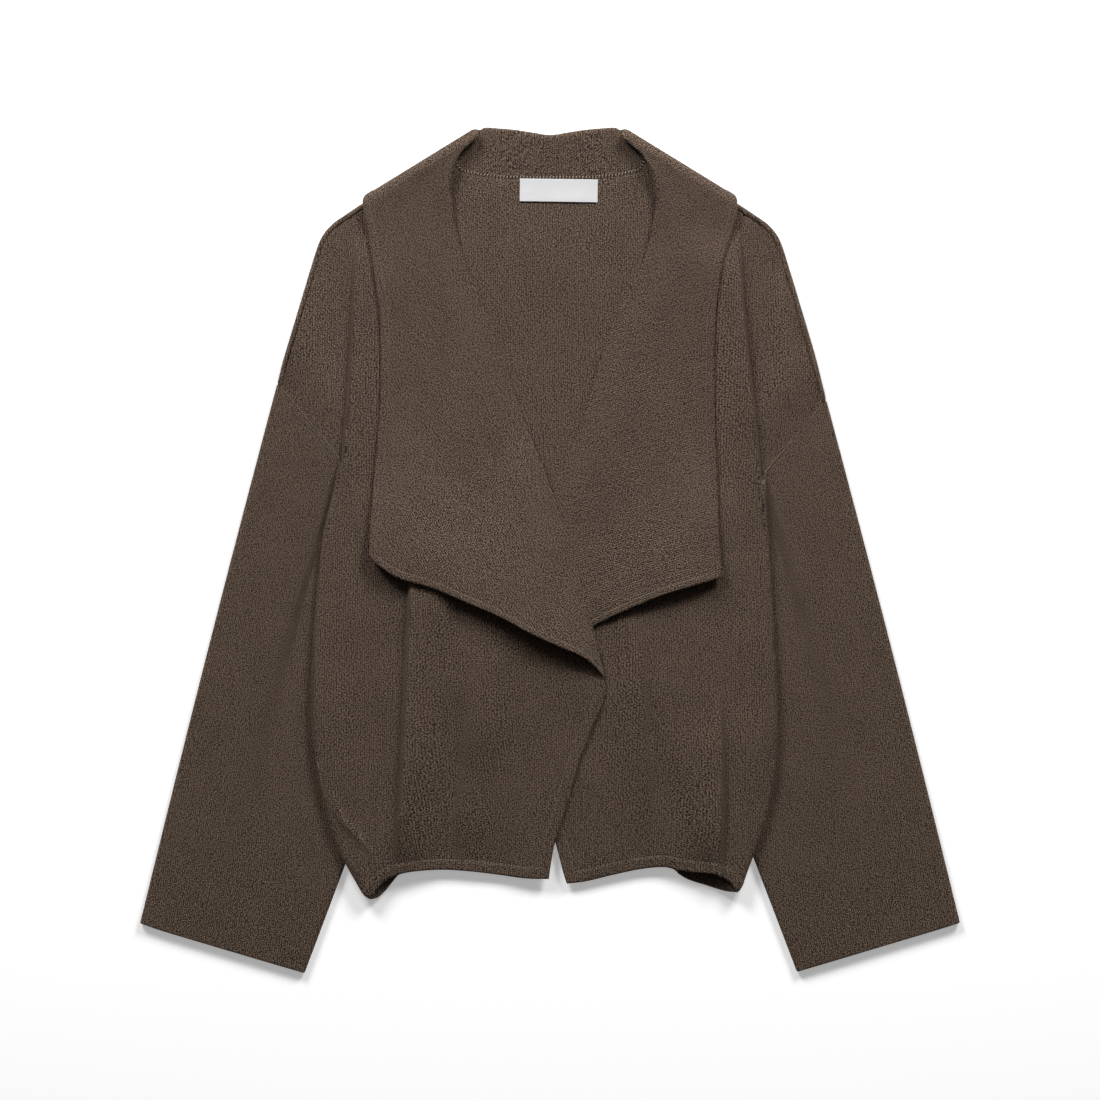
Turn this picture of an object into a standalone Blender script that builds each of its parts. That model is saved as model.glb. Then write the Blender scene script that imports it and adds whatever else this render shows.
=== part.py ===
"""Open-front knitted cardigan with a draped shawl collar, laid flat on its back.

Run with: blender --background --python part.py

Frame: metres, +Z up. +X is the wearer's left, +Y points from the hem to the neck, Z = 0 is the
surface that the garment lies on, and the origin is the middle of its outline on that surface.
Sizes below are in millimetres. Most tables give a point as (out, up): "out" is the distance from
the centre line towards one side, and "up" is Y. A negative "out" has crossed the centre line.
Heights are those of the middle of the cloth.
"""

import math

import bmesh
import bpy
import numpy as np

MM = 0.001

# Brings the middle of the outline to the origin
UP_SHIFT = 0.87

# Cloth and seams
CLOTH = 1.8
BAND_CLOTH = 2.4
BAND_WIDTH = 8.4
SEAM_GAP = 0.3
HIDDEN_GAP = 0.7
SLEEVE_GAP = 0.9
LABEL_CLOTH = 0.9
ON_FLOOR = CLOTH / 2

# Rises from the middle of one layer to the middle of the next
TUBE_RISE = 4.0
SIDE_START = CLOTH / 2 + 1.0
HEM_CORNER_RISE = 1.2
OVER_SLEEVE = 6.6
OVER_COLLAR = 2.7
NECK_POINT_RISE = 1.4
LAPEL_RISE = 3.0
ROLL_RISE = 4.6
OVER_LEFT_FRONT = 3.0
OVER_LEFT_LAPEL = 4.7

SLEEVE_BOW = 1.3

# Where the collar turns over the shoulder and goes behind the neck
FALL_RADIUS = 6.05
STAND_RADIUS = 2.0
FOLD_HEIGHT = ON_FLOOR + FALL_RADIUS
FOLD_OUTER = (146.0, 276.6)
FOLD_ROLL = (56.7, 331.4)
FOLD_DRIFT = (-0.9, 2.3)
STAND_TOP_AT_CENTRE = 6.6

RIGHT, LEFT = -1.0, 1.0

# Edges of the grids
BACK_CORNER = (78.2, 318.1)
NECK_ROWS = (0, 1, 2, 3, 4, 5, 6, 7, 7.5, 8, 8.5, 9, 9.5, 10, 10.5, 11, 11.5, 12)
TURN = (-90, -45, 0, 45, 90)
FOLD_ANGLES = (0, 30, 60, 90, 125, 180)
FALL_COLUMNS = 12
BENT_ROWS = 2
SLEEVE_ROWS = 14
CREST_PLACE = {RIGHT: 7.25, LEFT: 7.5}
FRONT_COLUMNS = 13
TURN_LENGTH = 28.0
BACK_SPLIT = (72.0, -240.0)

# The outline of the shoulder, where the back rolls forward over it, and the seam behind that roll
SHOULDER = {
    RIGHT: [
        # outline        seam
        ((218.4, 133.0), (215.4, 129.4)),
        ((213.6, 152.0), (209.0, 151.0)),
        ((206.4, 176.0), (201.9, 174.8)),
        ((199.2, 200.0), (194.7, 198.8)),
        ((192.0, 224.0), (187.6, 222.6)),
        ((184.0, 248.0), (180.2, 244.0)),
        ((175.2, 260.0), (171.6, 254.8)),
        ((164.0, 268.0), (161.0, 262.0)),
        ((148.0, 278.3), (144.6, 272.4)),
        ((115.0, 298.6), (111.6, 292.8)),
        ((79.7, 320.6), (76.9, 316.1)),
    ],
    LEFT: [
        ((221.3, 119.8), (218.4, 116.3)),
        ((213.6, 151.0), (208.4, 150.0)),
        ((206.4, 176.0), (201.1, 174.6)),
        ((199.2, 200.0), (194.0, 198.6)),
        ((192.0, 224.0), (187.0, 222.4)),
        ((184.0, 248.0), (179.6, 243.4)),
        ((175.2, 260.0), (171.2, 254.4)),
        ((164.0, 268.0), (160.6, 261.6)),
        ((148.0, 278.3), (144.4, 272.0)),
        ((115.0, 298.6), (111.4, 292.6)),
        ((79.7, 320.6), (76.9, 316.1)),
    ],
}
# The armhole and the body's side below it, down to the corner of the hem
UNDERARM_FOLD = {RIGHT: (168.3, 73.0), LEFT: (172.4, 61.0)}
SIDE_EDGE = {
    RIGHT: [(168.3, 73), (170.6, 60), (173.6, 45), (181.6, 10.4), (188.8, -64.8), (191.2, -115),
            (188.8, -160), (181.6, -200), (171.2, -235), (155, -266), (148.5, -276), (143, -279.4)],
    LEFT: [(172.4, 61), (172.3, 48), (172.8, 34), (175.8, -8), (179.4, -74), (182, -120),
           (181, -166), (175.5, -203), (168.2, -229), (159, -254), (153.5, -269), (150, -273.6)],
}
# The line that the front is drawn along inside that edge: the shoulder fold, then the turn of the side
SIDE_CREST = {
    RIGHT: [(157, 264.7), (157, 235), (158, 200), (158.5, 140), (155.5, 84), (157.5, 58), (161, 40),
            (172.5, 8), (182, -65), (185.2, -115), (183, -160), (176, -199), (166, -231), (149, -262),
            (144, -269), (139.5, -272.6)],
    LEFT: [(153, 266.6), (150, 235), (151, 205), (154, 140), (157.5, 82), (159.5, 48), (161.5, 30),
           (167.5, -8), (173, -74), (176, -120), (175, -166), (170, -201), (163, -226), (154, -251),
           (149.5, -263), (146.5, -268.6)],
}
# The neck seam under the lapel, then the free front edge below the break of the lapel
NECK_SEAM = {
    RIGHT: [(76.9, 316.1), (92, 298), (96, 281), (93, 254), (84, 224), (69, 192), (52, 150), (37, 106),
            (21, 71), (5, 30), (-10, -16), (-26, -66), (-37, -96)],
    LEFT: [(76.9, 316.1), (93, 298), (99, 281), (96, 254), (84, 224), (67, 190), (51, 150), (37, 106),
           (24, 71), (6, 30), (-8, -16), (-22, -66), (-33, -98)],
}
FRONT_EDGE = {
    RIGHT: [(-43.6, -107), (-39.1, -119.4), (-31.4, -143.4), (-22.7, -172), (-13.9, -202.6),
            (-4, -234), (-0.3, -254.2), (0.9, -263)],
    LEFT: [(-38, -110), (-33, -122), (-25, -143), (-15, -172), (-5, -203), (4, -233), (10.6, -258.2),
           (13.4, -267)],
}
# The corner of the hem is a narrow turn; the hem then runs to the front edge
HEM = {
    RIGHT: [(143, -279.4), (139.2, -272), (126, -260.8), (112, -256.8), (88, -255.6), (65, -257),
            (40, -260), (20, -262.6), (0.9, -263)],
    LEFT: [(150, -273.6), (144.8, -266), (136.3, -259.6), (126, -257.6), (112, -256.4), (91, -253),
           (72, -255.4), (51, -259.8), (29.3, -265), (13.4, -267)],
}
BACK_HEM = {
    RIGHT: [(143, -279.4), (121.6, -258.6), (88, -243), (40, -232.5), (0, -230.4)],
    LEFT: [(150, -273.6), (112, -263.4), (97.6, -254.6), (72, -241), (38, -232.5), (0, -230.4)],
}
BACK_NECK = [(78.2, 318.1), (73.5, 306.5), (62, 302), (42, 299), (21, 298.2), (0, 298)]

# How far down the outer edge and the crest each height of the neck seam and front edge is joined to
STATIONS = {
    RIGHT: [
        # neck seam, crest, outer edge
        (316.1, 264.7, 129.4), (215, 180, 102), (106, 100, 84), (71, 78, 73), (50, 60, 59), (18, 36, 42),
        (0, 8, 10), (-98, -100, -98), (-190, -190, -190), (-234, -250, -250), (-254.2, -266, -272.5),
        (-263, -272.6, -279.4)],
    LEFT: [
        (316.1, 266.6, 116.3), (215, 180, 92), (106, 90, 70), (71, 66, 61), (50, 48, 47), (18, 30, 30),
        (0, 8, 8), (-98, -100, -98), (-190, -190, -190), (-233, -243, -243), (-258.2, -261, -267),
        (-267, -268.6, -273.6)],
}

# A sleeve's end goes from the top of the armhole to the underarm, and is below the body past TURN_UNDER
TURN_UNDER = {RIGHT: (173.4, 46.5), LEFT: (173.4, 35.0)}
UNDERARM = {RIGHT: (86.0, -44.0), LEFT: (88.0, -50.0)}
CUFF = {
    RIGHT: [(328.0, -292.0), (310.0, -303.6), (269.6, -316.4), (229.6, -328.6), (196.4, -338.6)],
    LEFT: [(328.0, -297.0), (312.0, -302.6), (270.0, -315.6), (230.0, -328.0), (197.6, -337.6)],
}

# Folds: the crest's path, heights along it, and the widths of its outer and inner slopes
FOLDS = {
    RIGHT: [
        {"path": [(157, 250), (158, 200), (161, 140), (163.2, 84), (166, 52)],
         "height": [0, 3.0, 4.6, 4.4, 0], "outer": 9.0, "inner": 32.0},
        {"path": [(115, 16), (115.5, -20), (117, -60), (119, -112), (122, -198), (124, -232), (124, -258)],
         "height": [0, 3.4, 4.4, 5.0, 5.2, 4.2, 2.6], "outer": 9.0, "inner": 40.0},
        {"path": [(60, -70), (62, -120), (66, -165), (72, -215), (74, -250)],
         "height": [0, 1.6, 2.4, 2.0, 0.6], "outer": 16.0, "inner": 20.0},
    ],
    LEFT: [
        {"path": [(149, 250), (151, 205), (157, 140), (165, 82), (166.8, 44)],
         "height": [0, 4.0, 5.2, 4.6, 0], "outer": 9.0, "inner": 32.0},
        {"path": [(136, -70), (138, -110), (140, -150), (140, -200), (138, -235), (136, -258)],
         "height": [0, 1.2, 3.2, 4.6, 4.4, 3.6], "outer": 9.0, "inner": 44.0},
        {"path": [(75, -30), (76, -70), (79, -120), (82, -176), (84, -230)],
         "height": [0, 1.2, 2.2, 1.8, 0.4], "outer": 18.0, "inner": 22.0},
    ],
}

# Collar sections from the break of the lapel up to the shoulder
LAPEL_SECTIONS = {
    RIGHT: [
        # roll             outer edge
        ((-43.0, -98.0), (144.2, -4.8)),
        ((-36.5, -68.0), (143.0, 20)),
        ((-23.0, -20.0), (141.0, 47)),
        ((-10.0, 24.0), (138.6, 76)),
        ((5.0, 65.0), (136.5, 103)),
        ((20.0, 103.0), (135.2, 131)),
        ((35.5, 149.0), (135.0, 158)),
        ((52.0, 191.0), (135.7, 184)),
        ((66.0, 226.0), (138.3, 207)),
        ((75.5, 262.0), (141.5, 229)),
        ((78.8, 292.0), (144.7, 250)),
        ((73.0, 314.5), (147.2, 264)),
        ((61.5, 326.8), (148.2, 273)),
    ],
    LEFT: [
        ((-39.0, -102.0), (137.6, -21.6)),
        ((-31.0, -68.0), (135.0, 6)),
        ((-20.0, -20.0), (134.0, 36)),
        ((-8.0, 24.0), (132.8, 70)),
        ((10.5, 67.0), (131.8, 98)),
        ((25.0, 103.0), (131.2, 127)),
        ((38.5, 150.0), (131.3, 158)),
        ((53.0, 188.0), (131.9, 184)),
        ((69.0, 218.0), (134.2, 208)),
        ((79.5, 250.0), (138.4, 232)),
        ((84.5, 284.0), (144.0, 250)),
        ((76.0, 312.0), (148.6, 263)),
        ((61.5, 326.8), (148.8, 273)),
    ],
}
# The lapel's lower edge, from its corner to the roll, with the heights that it hangs at
LAPEL_EDGE = {
    RIGHT: [
        # out    up    height
        (144.2, -4.8, 17.0), (136.0, -12.8, 18.8), (120.0, -21.6, 19.4), (93.6, -31.2, 18.6),
        (67.2, -40.0, 17.8), (40.0, -50.4, 17.4), (16.0, -63.4, 17.0), (-8.0, -76.4, 16.4),
        (-26.4, -84.0, 14.6), (-38.0, -92.6, 12.8)],
    LEFT: [
        (137.6, -21.6, 16.0), (127.2, -24.8, 17.4), (113.6, -28.8, 17.8), (86.4, -37.6, 17.2),
        (53.6, -52.0, 13.4), (33.3, -62.2, 9.4), (10.0, -75.0, 8.6), (-14.0, -88.0, 8.6),
        (-34.0, -98.6, 9.6)],
}
EDGE_LIFT = (1.0, 0.72, 0.3, 0.06, 0.0)

# Behind the neck the fall lies under the back: roll and outer edge, one row for each point of BACK_NECK
NECK_SECTIONS = [
    ((53.0, 335.2), (138.0, 268)),
    ((40.0, 336.6), (128.0, 262)),
    ((27.0, 335.0), (98.0, 255)),
    ((13.0, 333.0), (50.0, 254)),
    ((0.0, 331.4), (0.0, 254)),
]

LABEL_CENTRE = (7.0, 287.6)
LABEL_SIZE = (62.4, 18.4)
LABEL_TILT = math.radians(-0.8)

CLOTH_COLOUR = (0.073, 0.051, 0.036, 1.0)
LABEL_COLOUR = (0.78, 0.78, 0.80, 1.0)


# ---------------------------------------------------------------- curves
def smooth(t):
    """0 below 0, 1 above 1, and a soft S between."""
    t = np.clip(t, 0.0, 1.0)
    return t * t * (3.0 - 2.0 * t)


def mix(a, b, t):
    return a + (b - a) * t


def through(rows, at):
    """Reads a table at fractional row numbers, on a smooth curve through its rows."""
    rows = np.asarray(rows, float)
    at = np.asarray(at, float)
    slopes = np.gradient(rows, axis=0)
    i = np.clip(np.floor(at).astype(int), 0, len(rows) - 2)
    t = (at - i)[..., None]
    return (
        (2 * t**3 - 3 * t**2 + 1) * rows[i]
        + (t**3 - 2 * t**2 + t) * slopes[i]
        + (3 * t**2 - 2 * t**3) * rows[i + 1]
        + (t**3 - t**2) * slopes[i + 1]
    )


def fine(points):
    return through(points, np.linspace(0, len(points) - 1, 24 * len(points)))


def run_of(line):
    """The distance along a polyline, in plan, of each of its points."""
    steps = np.linalg.norm(np.diff(np.asarray(line, float)[:, :2], axis=0), axis=1)
    return np.concatenate([[0.0], np.cumsum(steps)])


def shares_of(line):
    return run_of(line) / run_of(line)[-1]


def at_distances(line, distances):
    """Points at the given distances along a polyline, or back from its end where they are negative."""
    line, distances, run = np.asarray(line, float), np.asarray(distances, float), run_of(line)
    distances = np.where(distances < 0, run[-1] + distances, distances)
    return np.stack([np.interp(distances, run, column) for column in line.T], axis=-1)


def at_shares(line, shares):
    return at_distances(line, np.asarray(shares, float) * run_of(line)[-1])


def rail(points):
    """For a curve that descends all the way: "out" as a function of "up"."""
    line = fine(points)[::-1]
    return lambda up: np.interp(up, line[:, 1], line[:, 0])


def toward(a, b):
    run = np.asarray(b, float)[..., :2] - np.asarray(a, float)[..., :2]
    return run / np.linalg.norm(run, axis=-1, keepdims=True)


def left_of(a, b, out, up):
    """Distance from the line through a and b, positive on its left-hand side."""
    run = toward(a, b)
    return -run[1] * (out - a[0]) + run[0] * (up - a[1])


def coons(first, last, near, far, shares):
    """A grid between four curves: the first and last rows, and the near and far ends of the rows.

    The columns lie at the given shares of the way across.
    """
    first, last = at_shares(first, shares), at_shares(last, shares)
    first[[0, -1]], last[[0, -1]] = (near[0], far[0]), (near[-1], far[-1])
    v = np.linspace(0, 1, len(near))[:, None, None]
    u = np.asarray(shares, float)[None, :, None]
    corners = (1 - v) * ((1 - u) * first[0] + u * first[-1]) + v * ((1 - u) * last[0] + u * last[-1])
    across = (1 - u) * near[:, None] + u * far[:, None]
    down = (1 - v) * first[None] + v * last[None]
    return across + down - corners


# ---------------------------------------------------------------- heights of the layers
def over_sleeve(side, out, up, reach, ramp):
    """1 where the body lies over the hidden part of a sleeve, falling to 0 within the reach of it."""
    end = left_of(TURN_UNDER[side], UNDERARM[side], out, up)
    inner = left_of(UNDERARM[side], CUFF[side][-1], out, up)
    return smooth((np.minimum(end, inner) + reach) / ramp)


def back_height(side, out, up):
    """The back lies on the surface, and over the sleeves and the collar's fall."""
    fold = over_sleeve(side, out, up, 22.0, 12.0)
    wide = over_sleeve(side, out, up, 42.0, 24.0) * smooth((52.0 - up) / 24.0)
    over_fall = smooth((up - 226.0) / 16.0) * smooth((176.0 - out) / 18.0)
    far = np.hypot(out - BACK_CORNER[0], up - BACK_CORNER[1])
    return (
        ON_FLOOR
        + OVER_SLEEVE * np.maximum(fold, wide)
        + OVER_COLLAR * over_fall
        + NECK_POINT_RISE * (1.0 - smooth(far / 34.0))
    )


def ridge(fold, out, up):
    """The height that one fold adds."""
    at = np.linspace(0, len(fold["path"]) - 1, 80)
    line = through(fold["path"], at)[::-1]
    height = np.interp(at, np.arange(len(fold["height"])), fold["height"])[::-1]
    off = out - np.interp(up, line[:, 1], line[:, 0])
    slope = np.where(off > 0, off / fold["outer"], -off / fold["inner"])
    return np.interp(up, line[:, 1], height) * (1.0 - smooth(slope))


def over_left_side(out, up):
    """How far the right front is raised by the left front and the left lapel below it."""
    x = -out
    edge = rail(NECK_SEAM[LEFT] + FRONT_EDGE[LEFT])(up)
    roll = rail([row[0] for row in LAPEL_SECTIONS[LEFT]][::-1])(np.maximum(up, -102.0))
    lower = left_of((-34.0, -98.6), (53.6, -52.0), x, up)
    on_front = smooth((x - edge + 36.0) / 22.0) * smooth((120.0 - up) / 24.0)
    on_lapel = smooth((x - roll + 36.0) / 22.0) * smooth((lower + 36.0) / 22.0) * smooth((100.0 - up) / 24.0)
    return OVER_LEFT_FRONT * on_front + OVER_LEFT_LAPEL * on_lapel


def front_height(side, out, up):
    """A front lies over the back with its own folds, and the right front over the left."""
    bridge = over_sleeve(side, out, up, 60.0, 56.0) * smooth((40.0 - up) / 40.0)
    lifted = ON_FLOOR + OVER_SLEEVE * bridge
    height = np.maximum(back_height(side, out, up), lifted) + TUBE_RISE
    for fold in FOLDS[side]:
        height = height + ridge(fold, out, up)
    if side == RIGHT:
        height = height + over_left_side(out, up)
    return height


# ---------------------------------------------------------------- meshes
def new_material(name, colour, roughness):
    made = bpy.data.materials.new(name)
    made.use_nodes = True
    shader = made.node_tree.nodes["Principled BSDF"]
    shader.inputs["Base Color"].default_value = colour
    shader.inputs["Roughness"].default_value = roughness
    shader.inputs["Metallic"].default_value = 0.0
    return made


def new_collection(name):
    made = bpy.data.collections.new(name)
    bpy.context.scene.collection.children.link(made)
    return made


def cloth(name, grids, thickness, material, collection, band=None):
    """An open surface of joined grids, given its wall by Solidify, with a thicker band if asked for.

    Each grid is an array of rows and columns of points in millimetres. The band is one array of
    True and False for each grid.
    """
    mesh = bmesh.new()
    layer = mesh.verts.layers.deform.verify()
    for number, grid in enumerate(grids):
        vertices = []
        for i, row in enumerate(grid):
            vertices.append([mesh.verts.new(point * MM) for point in row])
            for j, vertex in enumerate(vertices[-1]):
                vertex[layer][0] = 1.0 if band is not None and band[number][i, j] else 0.0
        for upper, lower in zip(vertices, vertices[1:]):
            for a, b, c, d in zip(upper, upper[1:], lower[1:], lower):
                mesh.faces.new((a, b, c, d))
    bmesh.ops.remove_doubles(mesh, verts=mesh.verts[:], dist=1e-5)
    bmesh.ops.recalc_face_normals(mesh, faces=mesh.faces[:])
    data = bpy.data.meshes.new(name)
    mesh.to_mesh(data)
    mesh.free()
    data.materials.append(material)
    data.shade_smooth()
    obj = bpy.data.objects.new(name, data)
    obj.vertex_groups.new(name="Band")
    wall = obj.modifiers.new("Wall", "SOLIDIFY")
    wall.thickness = (BAND_CLOTH if band is not None else thickness) * MM
    wall.offset = 0.0
    wall.use_quality_normals = True
    if band is not None:
        wall.vertex_group = "Band"
        wall.thickness_vertex_group = CLOTH / BAND_CLOTH
    collection.objects.link(obj)
    return obj


def on_side(side, grid):
    """Turns a grid of (out, up, height) into X, Y and Z on its side of the garment."""
    return grid * (side, 1.0, 1.0) + (0.0, UP_SHIFT, 0.0)


def with_height(plan, height):
    return np.concatenate([plan, height[..., None]], axis=-1)


# ---------------------------------------------------------------- body
def rails(side):
    """Row by row: the outer edge, the crest and the inner edge of a front."""
    inner = np.concatenate([through(NECK_SEAM[side], NECK_ROWS), FRONT_EDGE[side]])
    table = np.array(STATIONS[side])[::-1]
    crest_up = np.interp(inner[:, 1], table[:, 0], table[:, 1])
    outer_up = np.interp(inner[:, 1], table[:, 0], table[:, 2])
    top, fold = SHOULDER[side][0][1], UNDERARM_FOLD[side]
    armhole = np.interp(outer_up, [fold[1], top[1]], [fold[0], top[0]])
    outer = np.where(outer_up > fold[1], armhole, rail(SIDE_EDGE[side])(outer_up))
    crest = rail(SIDE_CREST[side])(crest_up)
    return np.stack([outer, outer_up], axis=-1), np.stack([crest, crest_up], axis=-1), inner


def split(line, point):
    """The two parts of a curve, either side of the place nearest a point."""
    line = fine(line)
    cut = int(np.argmin(np.linalg.norm(line - np.asarray(point, float), axis=1)))
    return line[: cut + 1], line[cut:]


def with_band(plan, width):
    """Puts the last column but one at a band's width from the last, and spaces the others evenly."""
    rows = []
    for line in plan:
        total = run_of(line)[-1]
        rows.append(at_distances(line, [*np.linspace(0, total - width, len(line) - 1), total]))
    return np.array(rows)


def side_columns(side, outer, crest, seam, hem):
    """A front from its outer edge to the crest, and how far each row is turned down at the side.

    The columns follow the seam's corners at the shoulder, are even at the underarm, and bunch up
    on the turn of the side below it.
    """
    columns = len(seam)
    plan = coons(seam, hem, outer, crest, shares_of(seam))
    depth = outer[0, 1] - outer[:, 1:]
    evened = smooth(depth / (outer[0, 1] - UNDERARM_FOLD[side][1]))
    shares = mix(shares_of(seam), np.linspace(0, 1, columns), evened)
    plan = np.array([at_shares(line, share) for line, share in zip(plan, shares)])

    turned = smooth((UNDERARM_FOLD[side][1] - outer[:, 1:]) / TURN_LENGTH)
    quarter = np.linspace(0, math.pi / 2, columns)
    reach = np.linalg.norm(crest - outer, axis=1)[:, None]
    inward = mix(ON_FLOOR, reach, 1.0 - np.cos(quarter))
    side_turn = outer[:, None] + toward(outer, crest)[:, None] * inward[..., None]
    return mix(plan, side_turn, turned[..., None]), turned


def front_grid(side):
    """A front, with its side turned down to the back, and the places of its band."""
    outer, crest, inner = rails(side)
    seam = np.array([row[1] for row in SHOULDER[side]], float)
    place = CREST_PLACE[side]
    hem_outer, hem_inner = split(HEM[side], crest[-1])
    to_crest, turned = side_columns(side, outer, crest, through(seam, (0, 4, 5, 6, place)), hem_outer)
    seam_inner = through(seam, np.linspace(place, len(seam) - 1, FRONT_COLUMNS))
    to_edge = coons(seam_inner, hem_inner, crest, inner, shares_of(seam_inner))
    plan = np.concatenate([to_crest, with_band(to_edge, BAND_WIDTH)[:, 1:]], axis=1)

    height = front_height(side, plan[..., 0], plan[..., 1])
    low = back_height(side, outer[:, :1], outer[:, 1:]) + SIDE_START
    low[-2:] += HEM_CORNER_RISE
    columns = to_crest.shape[1]
    rise = np.sin(np.linspace(0, math.pi / 2, columns))
    height[:, :columns] = mix(height[:, :columns], mix(low, height[:, columns - 1 : columns], rise), turned)

    band = np.zeros(height.shape, bool)
    band[-2:] = True
    band[len(NECK_ROWS):, -2:] = True
    return with_height(plan, height), band


def shoulder_roll(side):
    """The centre line of the shoulder's roll, and its rows from the seam round to that line."""
    table = np.array(SHOULDER[side], float)
    places = (0, 1, 2, 3, 4, 5, 6, CREST_PLACE[side], 8.3, 9.2, 10)
    edge, seam = through(table[:, 0], places), through(table[:, 1], places)
    run = toward(edge[:-1], edge[1:])
    run = np.concatenate([run[:1], (run[1:] + run[:-1]) / 2, run[-1:]])
    across = toward(seam, edge)
    crossing = np.abs(across[:, 0] * run[:, 1] - across[:, 1] * run[:, 0])[:, None]
    radius = TUBE_RISE / 2
    centre = edge - across * (ON_FLOOR + radius) / crossing
    low = back_height(side, centre[:, 0], centre[:, 1])
    rows = [with_height(seam + across * SEAM_GAP, low + TUBE_RISE)]
    for angle in np.radians(TURN[:0:-1]):
        plan = centre + across * radius * math.cos(angle) / crossing
        rows.append(with_height(plan, low + radius * (1.0 + math.sin(angle))))
    return centre, rows


def between(start, stop, count):
    return mix(np.array(start, float), np.array(stop, float), np.linspace(0, 1, count)[:, None])


def back_grids(side):
    """One half of the back: out to the armhole and side with the shoulder's roll, and in to the middle."""
    outer = rails(side)[0]
    centre, roll = shoulder_roll(side)
    outer[0] = centre[0]
    hem_outer, hem_inner = split(BACK_HEM[side], BACK_SPLIT)
    below_neck = between(BACK_CORNER, hem_outer[-1], len(outer))
    middle = between(BACK_NECK[-1], hem_inner[-1], len(outer))
    grids, bands = [], []
    for first, last, near, far, above in (
        (centre, hem_outer, outer, below_neck, roll),
        (np.array(BACK_NECK), hem_inner, below_neck, middle, []),
    ):
        plan = coons(first, last, near, far, shares_of(first))
        plan[-2] = plan[-1] + toward(plan[-1], plan[-3]) * BAND_WIDTH
        height = back_height(side, plan[..., 0], plan[..., 1])
        height[-2:] += (BAND_CLOTH - CLOTH) / 2
        grid = np.array([*above, *with_height(plan, height)])
        band = np.zeros(grid.shape[:2], bool)
        band[-2:] = True
        grids.append(on_side(side, grid))
        bands.append(band)
    return grids, bands


# ---------------------------------------------------------------- sleeves
def flat_places(end):
    """Where the columns of a sleeve lie, with one on each corner of the end that meets the body."""
    run = run_of(end)
    start, stop = ON_FLOOR + TUBE_RISE / 2, run[-1] - ON_FLOOR - TUBE_RISE / 2
    places = np.concatenate([np.linspace(start, run[1], 5), np.linspace(run[2], stop, 5)])
    return (places - start) / (stop - start)


def slant(edge_run, row_run):
    """How much longer a turn gets where its rows cross the edge at a slant."""
    return 1.0 / abs(edge_run[0] * row_run[1] - edge_run[1] * row_run[0])


def sleeve_grid(side):
    """A flattened tube, open at the armhole and the cuff: rows of closed rings."""
    top, fold = SHOULDER[side][0][0], UNDERARM_FOLD[side]
    down = toward(top, fold)
    away = np.array([-down[1], down[0]]) * SEAM_GAP
    end = np.array([np.add(top, away), np.add(fold, away) + (SLEEVE_GAP, 0),
                    np.add(TURN_UNDER[side], (SLEEVE_GAP, 0)), UNDERARM[side]])
    way = np.linspace(0, 1, SLEEVE_ROWS)[:, None]
    outer = mix(end[0], np.array(CUFF[side][0]), way) + np.sin(np.pi * way) * (SLEEVE_BOW, 0.0)
    inner = mix(end[-1], np.array(CUFF[side][-1]), way)
    plan = coons(end, fine(CUFF[side]), outer, inner, np.unique([*np.linspace(0, 1, 17), *shares_of(end)]))

    radius = TUBE_RISE / 2
    middle, half = ON_FLOOR + radius, radius * math.sin(math.pi / 4)
    turn = np.array([ON_FLOOR, middle - half, middle])
    flats = flat_places(end)
    high, low = np.full(len(flats), middle + radius), np.full(len(flats), ON_FLOOR)
    heights = [middle, middle + half, *high, middle + half, middle, middle - half, *low, middle - half]
    rings = []
    for i, line in enumerate(plan):
        before, after = max(i - 1, 0), min(i + 1, SLEEVE_ROWS - 1)
        start = turn * slant(toward(outer[before], outer[after]), toward(line[0], line[1]))
        stop = -turn * slant(toward(inner[before], inner[after]), toward(line[-1], line[-2]))
        places = mix(start[2], run_of(line)[-1] + stop[2], flats)
        distances = [start[0], start[1], *places, stop[1], stop[0], stop[1], *places[::-1], start[1]]
        rings.append(with_height(at_distances(line, distances), np.array(heights)))
    rings = np.array(rings)
    return on_side(side, np.concatenate([rings, rings[:, :1]], axis=1))


# ---------------------------------------------------------------- collar
def fall_shares(length):
    """Shares of the fall's width that its columns lie at, the second at the band's inner line."""
    band = BAND_WIDTH / length
    return np.concatenate([[0.0], np.linspace(band, 1.0, FALL_COLUMNS)])


def turned_roll(centre, across, low, high):
    """The points of a roll, from just below its top at one end of the turn to its lowest at the other."""
    radius, middle = (high - low) / 2, (high + low) / 2
    return [
        (*(centre - across * abs(radius) * math.cos(angle)), middle + radius * math.sin(angle))
        for angle in np.radians(TURN[-2::-1])
    ]


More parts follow.
